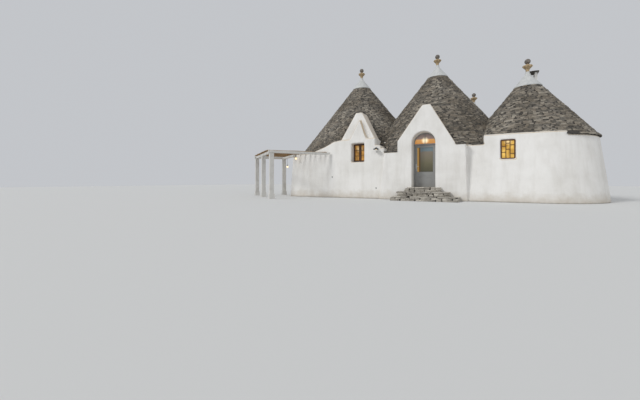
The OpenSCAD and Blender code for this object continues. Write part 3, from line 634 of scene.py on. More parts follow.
def cone_tree() -> Growth:
    """Builds the tree that lays slabs in one long spiral up a cone, which climbs one rise a turn.

    A stone at distance s along the spiral lies at radius sqrt(R^2 - s * slope * rise / pi), which
    follows from the length of a spiral on a cone. Stones past a valley plane, in a keep-out box, or in
    or before the front masonry are left out.

    Returns:
        The tree.
    """
    growth = Growth(
        "cone_courses",
        Vector=("Tip", "Plane A Point", "Plane A Normal", "Plane B Point", "Plane B Normal",
                "Opening Low", "Opening High"),
        Float=("Slope", "Foot Radius", "Head Radius", "Rise", "Course Height", "Stone Length",
               "Stone Depth", "Proud"),
        Object=("Masonry",),
    )
    add, group = growth.add, growth.group
    tip, slope, length, depth = (group[name] for name in ("Tip", "Slope", "Stone Length", "Stone Depth"))
    wobble, uneven, tilt, roll = (
        add(RANDOM, low, high, named={"Seed": group["Seed"]})
        for low, high in ((-0.3, 0.3), (-0.006, 0.014), (-0.16, 0.02), (-0.05, 0.05))
    )
    pitch = add(MATH, slope, group["Rise"], operation="MULTIPLY")
    per_metre = add(MATH, pitch, math.pi, operation="DIVIDE")
    foot_sq, head_sq = (add(MATH, group[end + " Radius"], 2.0, operation="POWER") for end in ("Foot", "Head"))
    span = add(MATH, foot_sq, head_sq, operation="SUBTRACT")
    whole = add(MATH, span, per_metre, operation="DIVIDE")
    points = add(POINTS, add(MATH, whole, length, operation="DIVIDE"))
    along = add(MATH, add(INDEX), length, operation="MULTIPLY")
    used = add(MATH, along, per_metre, operation="MULTIPLY")
    radius = add(MATH, add(MATH, foot_sq, used, operation="SUBTRACT"), operation="SQRT")
    drop = add(MATH, group["Foot Radius"], radius, operation="SUBTRACT")
    turns = add(MATH, drop, pitch, operation="DIVIDE")
    nudge = add(MATH, add(MATH, wobble, length, operation="MULTIPLY"), radius, operation="DIVIDE")
    angle = add(MATH, turns, 2 * math.pi, nudge, operation="MULTIPLY_ADD")
    proud = add(MATH, uneven, group["Proud"], operation="ADD")
    back = add(MATH, depth, -0.5, proud, operation="MULTIPLY_ADD")
    reach = add(MATH, radius, back, operation="ADD")
    flat = [
        add(MATH, add(MATH, angle, operation=part), reach, operation="MULTIPLY")
        for part in ("COSINE", "SINE")
    ]
    level = add(MATH, add(MATH, radius, slope, operation="DIVIDE"), -1.0, operation="MULTIPLY")
    place = add(VECTOR_MATH, add(COMBINE, *flat, level), tip, operation="ADD")
    laid = add(SET_POSITION, points, named={"Position": place})

    spot = add(POSITION)
    drops = []
    for name in ("Plane A", "Plane B"):
        offset = add(VECTOR_MATH, spot, group[name + " Point"], operation="SUBTRACT")
        side = add(VECTOR_MATH, offset, group[name + " Normal"], operation="DOT_PRODUCT")
        drops.append(add(MATH, side, 0.0, operation="GREATER_THAN"))
    from_low = add(VECTOR_MATH, spot, group["Opening Low"], operation="SUBTRACT")
    from_high = add(VECTOR_MATH, group["Opening High"], spot, operation="SUBTRACT")
    nearest = add(VECTOR_MATH, from_low, from_high, operation="MINIMUM")
    sides = add(SEPARATE, nearest).outputs
    plan = add(MATH, sides[0], sides[1], operation="MINIMUM")
    inner = add(MATH, plan, sides[2], operation="MINIMUM")
    drops.append(add(MATH, inner, 0.0, operation="GREATER_THAN"))
    walls = add("GeometryNodeObjectInfo", group["Masonry"], transform_space="ORIGINAL").outputs["Geometry"]
    into = {"Ray Direction": (0.0, 1.0, 0.0), "Ray Length": 3.0}
    drops.append(add("GeometryNodeRaycast", walls, named=into))
    any_drop = drops[0]
    for more in drops[1:]:
        any_drop = add("FunctionNodeBooleanMath", any_drop, more, operation="OR")
    kept = add("GeometryNodeDeleteGeometry", laid, any_drop, domain="POINT")

    parts = add(SEPARATE, add(VECTOR_MATH, spot, tip, operation="SUBTRACT")).outputs
    bearing = add(MATH, parts[1], parts[0], operation="ARCTAN2")
    turn = add(MATH, bearing, -math.pi / 2, operation="ADD")
    growth.set_stones(kept, (tilt, roll, turn), (length, depth, group["Course Height"]),
                      spread=((0.6, 0.9, 0.74), (1.35, 1.1, 1.02)), lean=0.16, chip=0.012)
    return growth


def wall_tree() -> Growth:
    """Builds the tree that stacks rows of rough stones along a straight line.

    Returns:
        The tree.
    """
    growth = Growth("stacked_rows", Vector=("Start", "End"), Int=("Rows",),
                    Float=("Row Height", "Stone Length", "Stone Depth"))
    add, group = growth.add, growth.group
    jitter, roll = (
        add(RANDOM, low, high, named={"Seed": group["Seed"]}) for low, high in ((0.3, 0.7), (-0.04, 0.04))
    )
    run = add(VECTOR_MATH, group["End"], group["Start"], operation="SUBTRACT")
    length = add(VECTOR_MATH, run, operation="LENGTH")
    share = add(MATH, length, group["Stone Length"], operation="DIVIDE")
    columns = add(MATH, share, operation="CEIL")
    points = add(POINTS, add(MATH, columns, group["Rows"], operation="MULTIPLY"))
    index = add(INDEX)
    column = add(MATH, index, columns, operation="MODULO")
    row = add(MATH, add(MATH, index, columns, operation="DIVIDE"), operation="FLOOR")
    step = add(MATH, column, jitter, operation="ADD")
    portion = add(MATH, step, columns, operation="DIVIDE")
    course = add(MATH, row, 0.5, operation="ADD")
    height = add(MATH, course, group["Row Height"], operation="MULTIPLY")
    travel = add(VECTOR_MATH, run, portion, operation="SCALE")
    raised = add(VECTOR_MATH, travel, add(COMBINE, None, None, height), operation="ADD")
    place = add(VECTOR_MATH, raised, group["Start"], operation="ADD")
    laid = add(SET_POSITION, points, named={"Position": place})
    parts = add(SEPARATE, run).outputs
    bearing = add(MATH, parts[1], parts[0], operation="ARCTAN2")
    turn = add(MATH, bearing, math.pi, operation="ADD")
    sizes = [group[name] for name in ("Stone Length", "Stone Depth", "Row Height")]
    growth.set_stones(laid, (roll, roll, turn), sizes,
                      spread=((0.75, 0.94, 0.86), (1.1, 1.04, 1.0)), lean=0.0, chip=0.008)
    return growth


def settle(piece: Object, finish: Finish, body: Body = Body.HOUSE) -> None:
    """Gives a piece its finish and slot, makes it ride on its body and reports it.

    Args:
        piece: The finished mesh object.
        finish: The finish that it wears where it has none yet.
        body: The body that carries it.
    """
    if not piece.data.materials:
        piece.data.materials.append(finish.material())
    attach(piece, body.value)
    LOG.info("%s: %d faces of %s", piece.name, len(piece.data.polygons), finish.name)


def dress(finish: Finish, *nodes: str) -> None:
    """Gives CAD nodes a finish and rounds the shading of their curved faces.

    Args:
        finish: The finish.
        *nodes: Names of the CAD nodes.
    """
    for name in nodes:
        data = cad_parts[name].data
        data.materials.clear()
        data.materials.append(finish.material())
        data.shade_smooth()
        data.set_sharp_from_angle(angle=math.radians(SHARP_DEG))
        LOG.info("%s wears %s", name, finish.name)


def copy_nodes(name: str, nodes: tuple[str, ...]) -> Object:
    """Copies CAD nodes into one mesh at the origin.

    Args:
        name: The copy's name.
        nodes: Names of the nodes.

    Returns:
        The copy.
    """
    joined = bmesh.new()
    for node in nodes:
        joined.from_mesh(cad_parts[node].data)
    mesh = bpy.data.meshes.new(name)
    joined.to_mesh(mesh)
    joined.free()
    return link(name, mesh)


class Workpiece:
    """Collects bars, rods and balls in one mesh.

    Attributes:
        thin_share: The widest bevel as a share of a bar's smallest side.
    """

    thin_share = 0.3

    def __init__(self, name: str, bevel: float = 0.004) -> None:
        """Starts an empty mesh.

        Args:
            name: The finished object's name.
            bevel: Width of the bevel that each bar gets, in metres.
        """
        self.name = name
        self.bevel = bevel
        self.mesh = bmesh.new()

    def bar(self, low: Triple, high: Triple) -> None:
        """Adds one bevelled bar.

        Args:
            low: Its lowest corner.
            high: Its highest corner.
        """
        size = Vector(high) - Vector(low)
        middle = (Vector(high) + Vector(low)) / 2
        place = Matrix.Translation(middle) @ Matrix.Diagonal((*size, 1.0))
        made = bmesh.ops.create_cube(self.mesh, size=1.0, matrix=place)
        edges = {edge for vert in made["verts"] for edge in vert.link_edges}
        width = min(self.bevel, min(size) * self.thin_share)
        bmesh.ops.bevel(self.mesh, geom=list(edges), offset=width, segments=1, profile=0.5, affect="EDGES")

    def rod(self, start: Triple, end: Triple, radius: float,
            end_radius: float | None = None, sides: int = 16) -> None:
        """Adds a straight rod or a cone's frustum.

        Args:
            start: Centre of its first end.
            end: Centre of its other end.
            radius: Radius at the first end.
            end_radius: Radius at the other end, the same if left out.
            sides: Number of sides.
        """
        run = Vector(end) - Vector(start)
        turn = run.to_track_quat("Z", "Y").to_matrix().to_4x4()
        bmesh.ops.create_cone(self.mesh, cap_ends=True, segments=sides, radius1=radius,
                              radius2=radius if end_radius is None else end_radius, depth=run.length,
                              matrix=Matrix.Translation(Vector(start) + run / 2) @ turn)

    def ball(self, centre: Triple, radius: float) -> None:
        """Adds a ball.

        Args:
            centre: Its centre.
            radius: Its radius.
        """
        bmesh.ops.create_uvsphere(self.mesh, u_segments=20, v_segments=12, radius=radius,
                                  matrix=Matrix.Translation(Vector(centre)))

    def finish(self) -> Object:
        """Closes the mesh.

        Returns:
            The collected mesh as an object.
        """
        data = bpy.data.meshes.new(self.name)
        self.mesh.to_mesh(data)
        self.mesh.free()
        data.shade_smooth()
        data.set_sharp_from_angle(angle=math.radians(SHARP_DEG))
        return link(self.name, data)


@dataclass(frozen=True)
class Tip:
    """A cone's tip.

    Attributes:
        x: Place along the front.
        y: Distance from the front.
        z: Height.
    """

    x: float
    y: float
    z: float

    @property
    def point(self) -> Vector:
        """The tip as a vector."""
        return Vector((self.x, self.y, self.z))

    def valley(self, other: "Tip") -> tuple[Vector, Vector]:
        """Finds the plane in which this cone meets another of the same slope.

        Args:
            other: The other cone's tip.

        Returns:
            A point of the plane and its normal, which looks at the other cone.
        """
        normal = Vector((other.x - self.x, other.y - self.y, (self.z - other.z) * CONE_SLOPE ** 2))
        return (self.point + other.point) / 2, normal.normalized()


@dataclass
class Cone:
    """The dry-stone cover of one cone, with a level ring of wider slabs along its eave.

    Attributes:
        name: First part of the names of its pieces.
        tip: The cone's tip.
        eave: Height where the stones start.
        valleys: Point and normal of each valley; stones on the normal's side are left out.
        opening: Low and high corner of a door's or a window's space, which holds no stones.
        seed: Seed of the stones' sizes and tones.
        course_height: Height of a course, in metres, like every size below.
        stone_length: Mean length of a stone.
        stone_depth: Mean depth of a stone.
        proud: How far the stones stand out from the cone.
        eave_rise: How much the ring of eave slabs climbs in its one turn.
        eave_length: Mean length of an eave slab.
        eave_proud: How far the eave slabs stand out.
    """

    name: str
    tip: Tip
    eave: float
    valleys: list[tuple[Vector, Vector]]
    opening: tuple[Vector, Vector]
    seed: int
    course_height: float = 0.072
    stone_length: float = 0.19
    stone_depth: float = 0.20
    proud: float = 0.022
    eave_rise: float = 0.004
    eave_length: float = 0.34
    eave_proud: float = 0.045

    def build(self, growth: Growth, masonry: Object) -> None:
        """Lays the ring along the eave and the courses, whose first turn starts inside the ring.

        Args:
            growth: The tree of cone_tree().
            masonry: The front walls, before which no stone lies.
        """
        foot = CONE_SLOPE * (self.tip.z - self.eave - self.course_height / 2)
        ring = foot - CONE_SLOPE * self.eave_rise
        none = (Vector((0.0, 0.0, -100.0)), Vector((0.0, 0.0, -1.0)))
        first, other = (self.valleys + [none, none])[:2]
        spirals = {
            "eave_slabs": (ring, self.eave_rise, self.eave_length, self.eave_proud),
            "roof_stones": (CONE_SLOPE * CAP_HEIGHT, self.course_height, self.stone_length, self.proud),
        }
        for label, (head, rise, length, proud) in spirals.items():
            made = growth.grow(f"{self.name}_{label}", {
                "Tip": self.tip.point, "Slope": CONE_SLOPE, "Foot Radius": foot, "Head Radius": head,
                "Rise": rise, "Course Height": self.course_height, "Stone Length": length,
                "Stone Depth": self.stone_depth, "Proud": proud,
                "Plane A Point": first[0], "Plane A Normal": first[1],
                "Plane B Point": other[0], "Plane B Normal": other[1],
                "Opening Low": self.opening[0], "Opening High": self.opening[1], "Masonry": masonry,
                "Seed": self.seed, "Material": SLATE.material(),
            })
            settle(made, SLATE)


@dataclass
class Roofs:
    """The four cones with their caps and finials, the chimney and the ledges' slabs.

    Attributes:
        left: Tip of the left cone.
        middle: Tip of the cone behind the entrance.
        right: Tip of the right cone.
        rear: Tip of the cone at the back.
    """

    left: Tip = Tip(-4.50, 4.13, 7.625)
    middle: Tip = Tip(0.18, 4.13, 7.625)
    right: Tip = Tip(4.40, 3.01, 6.15)
    rear: Tip = Tip(2.06, 8.08, 6.15)

    def cones(self) -> list[Cone]:
        """Returns the four covers, each with its valleys and with the opening that it leaves free."""
        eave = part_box("roof_left")[0].z
        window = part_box("left_window_frame")
        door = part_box("door_frame")
        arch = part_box("fanlight_frame")
        room = Vector((0.12, 1.0, 0.08))
        nowhere = (Vector((0.0, 0.0, -100.0)), Vector((0.0, 0.0, -100.0)))
        return [
            Cone("left", self.left, eave, [self.left.valley(self.middle)],
                 (window[0] - room, window[1] + room), 11),
            Cone("middle", self.middle, eave,
                 [self.middle.valley(self.left), self.middle.valley(self.right)],
                 (door[0] - room, arch[1] + room), 23),
            Cone("right", self.right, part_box("roof_right")[0].z,
                 [self.right.valley(self.middle)], nowhere, 37),
            Cone("rear", self.rear, eave, [self.rear.valley(self.middle)], nowhere, 41),
        ]

    def build(self) -> None:
        """Lays the stones and dresses what shows between and above them."""
        growth = cone_tree()
        masonry = copy_nodes("front_masonry", FRONT_WALLS)
        for cone in self.cones():
            cone.build(growth, masonry)
        bpy.data.objects.remove(masonry)
        # The cones' own surface, seen between the stones, is painted dark as the shade in the gaps
        dress(GAP_SHADE, "roof_left", "roof_middle", "roof_right", "roof_rear")
        dress(CAP, "roof_caps")
        dress(CARVED, "pinnacles")
        dress(LIME, "chimney")
        self.lay_slabs()

    def lay_slabs(self, grain: float = 0.045, chip: float = 0.012, waves: float = 9.0) -> None:
        """Breaks the edges of the ledges' slabs, which stand for the CAD ones.

        Args:
            grain: Length of the edges that the slabs are divided into, in metres.
            chip: How far a corner moves.
            waves: Number of the noise's waves in a metre.
        """
        made = copy_nodes("ledge_slabs", ("cover_slabs",))
        work = bmesh.new()
        work.from_mesh(made.data)
        for edge_share in (4, 2):
            long_edges = [e for e in work.edges if e.calc_length() > grain * edge_share]
            bmesh.ops.subdivide_edges(work, edges=long_edges, cuts=2, use_grid_fill=True)
        bmesh.ops.triangulate(work, faces=work.faces)
        for vert in work.verts:
            vert.co += noise.noise_vector(vert.co * waves) * chip
        work.to_mesh(made.data)
        work.free()
        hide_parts("cover_slabs")
        settle(made, SLAB)


@dataclass
class Plaster:
    """The lime plaster over all the walls, drawn in one coat with soft edges, and the stone floors.

    Attributes:
        grain: Size of the cells in which the coat is drawn, in metres.
        passes: How often the coat is rubbed smooth.
        rub: How much one pass evens out.
        keep: Share of the triangles that stays on the finished coat.
        weight: How much the large faces count in the shading, of 100.
    """

    grain: float = 0.024
    passes: int = 20
    rub: float = 0.5
    keep: float = 0.11
    weight: int = 80

    def build(self) -> None:
        """Draws the coat over copies of the wall nodes, which it replaces, and dresses the floors."""
        rough = copy_nodes("plaster_base", WALLS)
        coat = rough.modifiers.new("coat", "REMESH")
        coat.mode = "VOXEL"
        coat.voxel_size = self.grain
        coat.use_smooth_shade = True
        rub = rough.modifiers.new("rub", "SMOOTH")
        rub.iterations = self.passes
        rub.factor = self.rub
        thin = rough.modifiers.new("thin", "DECIMATE")
        thin.ratio = self.keep
        thin.use_collapse_triangulate = True
        even = rough.modifiers.new("even", "WEIGHTED_NORMAL")
        even.weight = self.weight
        made = bake("wall_plaster", rough)
        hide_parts(*WALLS)
        settle(made, LIME)
        dress(FLAG, "floor", "threshold")


@dataclass
class Steps:
    """The three tiers of stacked stone before the door.

    Attributes:
        stone_length: Mean length of a stone, in metres.
        stone_depth: Depth of a stone.
        row_height: Mean height of a row.
        tread: Thickness of the slabs on top.
        inset: How far the core lies behind the stones' faces.
        tread_depth: Depth of the slabs along the front edge.
        tread_length: Their length in stones.
        corner_gap: How far a row stops short of a corner, in stones.
        seed: Seed of the lowest tier's stones.
    """

    stone_length: float = 0.23
    stone_depth: float = 0.20
    row_height: float = 0.075
    tread: float = 0.06
    inset: float = 0.05
    tread_depth: float = 0.42
    tread_length: float = 1.8
    corner_gap: float = 0.1
    seed: int = 60

    def build(self) -> None:
        """Stacks stones round each tier and lays slabs on it, over a core of packed stone."""
        growth = wall_tree()
        core = Workpiece("step_core")
        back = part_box("step_top")[1].y
        for number, tier in enumerate(("step_bottom", "step_middle", "step_top")):
            low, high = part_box(tier)
            core.bar((low.x + self.inset, low.y + self.inset, low.z),
                     (high.x - self.inset, min(high.y, back), high.z - self.inset))
            self.stack(growth, tier, low, high, self.seed + 10 * number)
        made = core.finish()
        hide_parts("step_bottom", "step_middle", "step_top")
        # The core shows only between the stones and wears the same painted gap shade
        settle(made, GAP_SHADE)

    def stack(self, growth: Growth, tier: str, low: Vector, high: Vector, seed: int) -> None:
        """Builds the stones of one tier: three walls of rows and the beds of slabs on them.

        Args:
            growth: The tree of wall_tree().
            tier: Name of the tier's CAD node.
            low: Its lowest corner.
            high: Its highest corner.
            seed: Seed of its stones.
        """
        face = self.stone_depth / 2
        head = high.z - self.tread
        end = self.corner_gap * self.stone_length
        rows = max(1, round((head - low.z) / self.row_height))
        deep = min(high.y - low.y, self.tread_depth)
        rest = high.y - low.y - deep
        wall = (rows, (head - low.z) / rows, self.stone_length, self.stone_depth)
        bed = (1, self.tread, self.stone_length * self.tread_length)
        left, right = low.x + face, high.x - face
        first, last = low.x + 2 * end, high.x - 2 * end
        front, middle, behind = low.y + face, low.y + deep / 2, low.y + deep + rest / 2
        runs = (
            ("front_stones", (low.x + end, front, low.z), (high.x - end, front, low.z), wall, 0),
            ("right_stones", (right, low.y + end, low.z), (right, high.y, low.z), wall, 1),
            ("left_stones", (left, high.y, low.z), (left, low.y + end, low.z), wall, 2),
            ("treads", (first, middle, head), (last, middle, head), (*bed, deep), 5),
            ("back_treads", (first, behind, head), (last, behind, head), (*bed, rest), 6),
        )
        for label, start, stop, (count, height, length, depth), offset in runs:
            if depth < self.inset:
                continue
            made = growth.grow(f"{tier}_{label}", {
                "Start": Vector(start), "End": Vector(stop), "Rows": count, "Row Height": height,
                "Stone Length": length, "Stone Depth": depth, "Seed": seed + offset,
                "Material": STEP.material(),
            })
            for vert in made.data.vertices:
                vert.co.z = max(vert.co.z, 0.0)
            settle(made, STEP)


@dataclass
class Entrance:
    """The glazed door with its frame, its fanlight and its panel.

    Attributes:
        bead: Width of the beads that hold the glass, in metres.
        bead_proud: How far beads and mouldings stand out.
        field_margin: Margin round the raised field of the lower panel.
        mid_rail: Height of the rail over the glass's foot.
        glass_inset: How far the glass lies behind the leaf's inner face.
        overlap: How far a moulding reaches into what it sits on.
        field_side: Distance of the field's border from the glass's sides.
        field_border: Width of the groove round the field.
        rose_radius: Radius of the lock's rose.
        rose_drop: How far it sits below the handle's foot.
        drip_drop: How far the drip mould's foot lies under the frame's head.
        drip_height: Height of the drip mould.
        drip_proud: How far it stands out; the stops stand out a third of that.
        stop_width: Width of the jambs' stops.
    """

    bead: float = 0.016
    bead_proud: float = 0.007
    field_margin: float = 0.09
    mid_rail: float = 0.15
    glass_inset: float = 0.017
    overlap: float = 0.002
    field_side: float = 0.03
    field_border: float = 0.05
    rose_radius: float = 0.024
    rose_drop: float = 0.06
    drip_drop: float = 0.045
    drip_height: float = 0.03
    drip_proud: float = 0.018
    stop_width: float = 0.02

    def build(self) -> None:
        """Dresses the CAD pieces and adds the small ones."""
        dress(DOOR_PAINT, "door_frame", "fanlight_frame", "door_leaf")
        dress(STEEL, "door_handle")
        dress(DOOR_GLASS, "door_glass")
        self.mould_leaf()
        self.mould_frame()

    def mould_leaf(self) -> None:
        """Adds beads, the lower panel's raised field and the lock's rose on both faces of the leaf."""
        leaf_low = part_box("door_leaf")[0]
        low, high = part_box("door_glass")
        trim = Workpiece("door_mouldings", 0.003)
        lock = Workpiece("door_lock_roses", 0.001)
        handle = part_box("door_handle")
        inner = high.y + self.glass_inset
        faces = (
            (leaf_low.y - self.bead_proud, leaf_low.y + self.overlap),
            (inner - self.overlap, inner + self.bead_proud),
        )
        foot = leaf_low.z + self.field_margin
        top = low.z - self.field_margin
        left, right = low.x + self.field_side, high.x - self.field_side
        groove, rose = self.field_border, handle[0].z - self.rose_drop
        centre = (handle[0].x + handle[1].x) / 2 - 0.02
        for near, far in faces:
            inside, outside = (near, low.y - 0.001) if near < low.y else (high.y + 0.001, far)
            trim.bar((low.x, inside, low.z), (high.x, outside, low.z + self.mid_rail))
            self.border(trim, (low.x, near, low.z + self.mid_rail), (high.x, far, high.z))
            self.border(trim, (left, near, foot), (right, far, top))
            trim.bar((left + groove, near + 0.001, foot + groove), (right - groove, far, top - groove))
            lock.rod((centre, near, rose), (centre, far, rose), self.rose_radius)
        settle(trim.finish(), DOOR_PAINT, Body.DOOR)
        settle(lock.finish(), STEEL, Body.DOOR)

    def border(self, work: Workpiece, low: Triple, high: Triple) -> None:
        """Adds four beads round an upright field.

        Args:
            work: The mesh that gets them.
            low: Lowest corner of the field, with the beads' own depth.
            high: Highest corner.
        """
        for x0, x1 in ((low[0], low[0] + self.bead), (high[0] - self.bead, high[0])):
            work.bar((x0, low[1], low[2]), (x1, high[1], high[2]))
        for z0, z1 in ((low[2], low[2] + self.bead), (high[2] - self.bead, high[2])):
            work.bar((low[0] + self.bead, low[1], z0), (high[0] - self.bead, high[1], z1))

    def mould_frame(self) -> None:
        """Adds a drip mould on the transom and a stop's edge along the jambs."""
        low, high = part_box("door_frame")
        trim = Workpiece("door_frame_mouldings", 0.003)
        head, seat, width = high.z - self.drip_drop, low.y + self.overlap, self.stop_width
        front = low.y - self.drip_proud
        trim.bar((low.x + 0.01, front, head), (high.x - 0.01, seat, head + self.drip_height))
        for x0 in (low.x + 0.012, high.x - 0.012 - width):
            trim.bar((x0, low.y - self.drip_proud / 3, low.z), (x0 + width, seat, head))
        settle(trim.finish(), DOOR_PAINT)


@dataclass
class Windows:
    """The windows' frames and panes, and the left one's casements, sill and latch.

    Attributes:
        sill_height: Thickness of a sill's slab, in metres.
        sill_side: How far the slab reaches past the frame's sides and behind its front.
        sill_rise: How far it stands over the frame's foot.
        latch_length: Length of a casement's latch.
        latch_half: Half the latch's width, also how far it stands out and its knob's radius.
        knob_rise: Height of the knob on the latch.
        knob_out: How far the knob's middle stands out.
        latch_share: Height of the latch's foot as a share of the window's.
        stile: Width of a casement's upright.
        rail: Height of a casement's lower rail.
        border: Width of the fixed frame round the casements.
        meeting: Half the gap between them.
        sash_proud: How far they stand before the frame.
        sash_deep: How far they reach into it.
    """

    sill_height: float = 0.03
    sill_side: float = 0.01
    sill_rise: float = 0.012
    latch_length: float = 0.07
    latch_half: float = 0.012
    knob_rise: float = 0.03
    knob_out: float = 0.04
    latch_share: float = 0.45
    stile: float = 0.045
    rail: float = 0.06
    border: float = 0.04
    meeting: float = 0.02
    sash_proud: float = 0.004
    sash_deep: float = 0.028

    def build(self) -> None:
        """Dresses the frames and splits the panes by what is behind them."""
        dress(WOOD, "left_window_frame", "right_window_frame", "rear_window_frames")
        panes = copy_nodes("window_panes", ("window_glass",))
        for finish in (YELLOW_PANE, AMBER_PANE, FAN_PANE):
            panes.data.materials.append(finish.material())
        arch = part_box("fanlight_frame")
        for face in panes.data.polygons:
            if face.center.z > arch[0].z and abs(face.center.x) < arch[1].x:
                face.material_index = 2
            elif face.center.x < arch[0].x:
                face.material_index = 1
        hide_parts("window_glass")
        settle(panes, YELLOW_PANE)
        self.trim()

    def trim(self) -> None:
        """Lays a slab in the left window's deep reveal, and adds its two casements and their latch."""
        sills = Workpiece("window_sill", 0.006)
        sashes = Workpiece("window_casements", 0.004)
        latch = Workpiece("window_latch", 0.002)
        low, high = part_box("left_window_frame")
        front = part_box("left_front_wall")[0].y + 0.03
        slab, side, half = low.z + self.sill_rise, self.sill_side, self.latch_half
        sills.bar((low.x - side, front, slab - self.sill_height), (high.x + side, low.y + side, slab))
        middle, level = (low.x + high.x) / 2, low.z + self.latch_share * (high.z - low.z)
        out, knob = low.y - self.knob_out, level + self.knob_rise
        head = level + self.latch_length
        latch.bar((middle - half, low.y - half, level), (middle + half, low.y + 0.004, head))
        latch.rod((middle, low.y - 0.005, knob), (middle, out + 0.005, knob), 0.007)
        latch.ball((middle, out, knob), half)
        near, far = low.y - self.sash_proud, low.y + self.sash_deep
        foot, head = low.z + self.border, high.z - self.border
        meet = middle - self.meeting, middle + self.meeting
        for x0, x1 in ((low.x + self.border, meet[0]), (meet[1], high.x - self.border)):
            left, right = x0 + self.stile, x1 - self.stile
            sashes.bar((x0, near, foot), (left, far, head))
            sashes.bar((right, near, foot), (x1, far, head))
            sashes.bar((left, near, foot), (right, far, foot + self.rail))
            sashes.bar((left, near, head - self.stile), (right, far, head))
        settle(sills.finish(), SLAB)
        settle(sashes.finish(), WOOD)
        settle(latch.finish(), METAL)


@dataclass
class Pergola:
    """The white pergola at the left end, roofed with crooked poles.

    Attributes:
        corner: Place of its front post.
        turn_deg: How far it is turned against the front.
        length: Length of its outer side, in metres.
        inner: Distance of its inner beam from the outer side.
        outer: Length of its front beam.
        over: How far the poles reach past the beams.
        poles: Number of poles.
        pole_radius: Mean radius of a pole.
        sway: How far a pole strays from its line.
        bends: How strongly it strays along itself, sideways and upwards.
        girth: Thinnest and thickest share of its mean radius.
        bulbs: Places of the two bulbs.
        bulb_radius: Radius of a bulb.
        holder: Radius and height of a bulb's holder.
        stem: Radius of its stem.
    """

    corner: tuple[float, float] = (-6.99, -2.34)
    turn_deg: float = 50.0
    length: float = 4.0
    inner: float = 1.75
    outer: float = 3.316
    over: float = 0.19
    poles: int = 15
    pole_radius: float = 0.03
    sway: float = 0.045
    bends: Triple = (0.4, 3.0, 1.0)
    girth: tuple[float, float] = (0.7, 1.25)
    bulbs: tuple[Triple, ...] = ((-7.00, -0.02, 2.20), (-8.33, 1.08, 1.80))
    bulb_radius: float = 0.055
    holder: tuple[float, float] = (0.024, 0.07)
    stem: float = 0.006

    def build(self) -> None:
        """Dresses posts and beams, and lays the poles in place of the CAD slats."""
        dress(WHITE_WOOD, "pergola_posts", "pergola_beams")
        made = self.pole_tree().grow("pergola_poles", {
            "Corner": Vector((*self.corner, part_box("pergola_beams")[1].z + self.pole_radius)),
            "Turn": math.radians(self.turn_deg), "Length": self.length, "Inner": self.inner,
            "Outer": self.outer, "Over": self.over, "Poles": self.poles, "Radius": self.pole_radius,
            "Sway": self.sway, "Seed": 7, "Material": CANE.material(),
        })
        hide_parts("pergola_slats")
        settle(made, CANE)
        self.hang_bulbs()

    def pole_tree(self) -> Growth:
        """Builds the tree that lays crooked poles side by side, each cut to its own length.

        Returns:
            The tree.
        """
        growth = Growth("crooked_poles", Vector=("Corner",), Int=("Poles",),
                        Float=("Turn", "Length", "Inner", "Outer", "Over", "Radius", "Sway"))
        add, group = growth.add, growth.group
        gaps = add(MATH, group["Poles"], 1.0, operation="ADD")
        pitch = add(MATH, group["Length"], gaps, operation="DIVIDE")
        side = add(MATH, add(MATH, add(INDEX), 1.0, operation="ADD"), pitch, operation="MULTIPLY")
        back = add(MATH, group["Over"], -1.0, operation="MULTIPLY")
        points = add(POINTS, group["Poles"], add(COMBINE, back, side))
        tangent = add(MATH, group["Turn"], operation="TANGENT")
        lost = add(MATH, side, tangent, operation="DIVIDE")
        cut = add(MATH, group["Outer"], lost, operation="SUBTRACT")
        reach = add(MATH, cut, group["Inner"], operation="MAXIMUM")
        span = add(MATH, group["Over"], 2.0, reach, operation="MULTIPLY_ADD")
        line = add("GeometryNodeCurvePrimitiveLine", named={"End": (1.0, 0.0, 0.0)})
        fine = add("GeometryNodeResampleCurve", line, named={"Count": 14})
        laid = add(INSTANCES, points, named={"Instance": fine, "Scale": add(COMBINE, span, 1.0, 1.0)})
        real = growth.make_real(laid)
        narrow = add(VECTOR_MATH, growth.stray(1.3), self.bends, operation="MULTIPLY")
        offset = add(VECTOR_MATH, narrow, group["Sway"], operation="SCALE")
        bent = add(SET_POSITION, real, named={"Offset": offset})
        share = add(MAP_RANGE, add(NOISE, named={"Scale": 2.4, "Detail": 2.0}), 0.3, 0.7, *self.girth)
        girth = add(MATH, share, group["Radius"], operation="MULTIPLY")
        skin = add("GeometryNodeCurveToMesh", bent, named={
            "Profile Curve": add("GeometryNodeCurvePrimitiveCircle", named={"Resolution": 9, "Radius": 1.0}),
            "Fill Caps": True, "Scale": girth,
        })
        turn = add(COMBINE, None, None, group["Turn"])
        named = {"Translation": group["Corner"], "Rotation": turn}
        growth.end(add("GeometryNodeTransform", skin, named=named))
        return growth

    def hang_bulbs(self) -> None:
        """Hangs two bare bulbs from the inner beam's line, each on a thin stiff stem."""
        holders = Workpiece("pergola_lamp_holders", 0.002)
        bulbs = Workpiece("pergola_bulbs")
        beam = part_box("pergola_beams")[1].z
        radius, height = self.holder
        for x, y, z in self.bulbs:
            foot = z + self.bulb_radius - 0.005
            holders.rod((x, y, foot + height - 0.01), (x, y, beam), self.stem, sides=8)
            holders.rod((x, y, foot), (x, y, foot + height), radius)
            bulbs.ball((x, y, z), self.bulb_radius)
        settle(holders.finish(), METAL)
        settle(bulbs.finish(), LAMP)


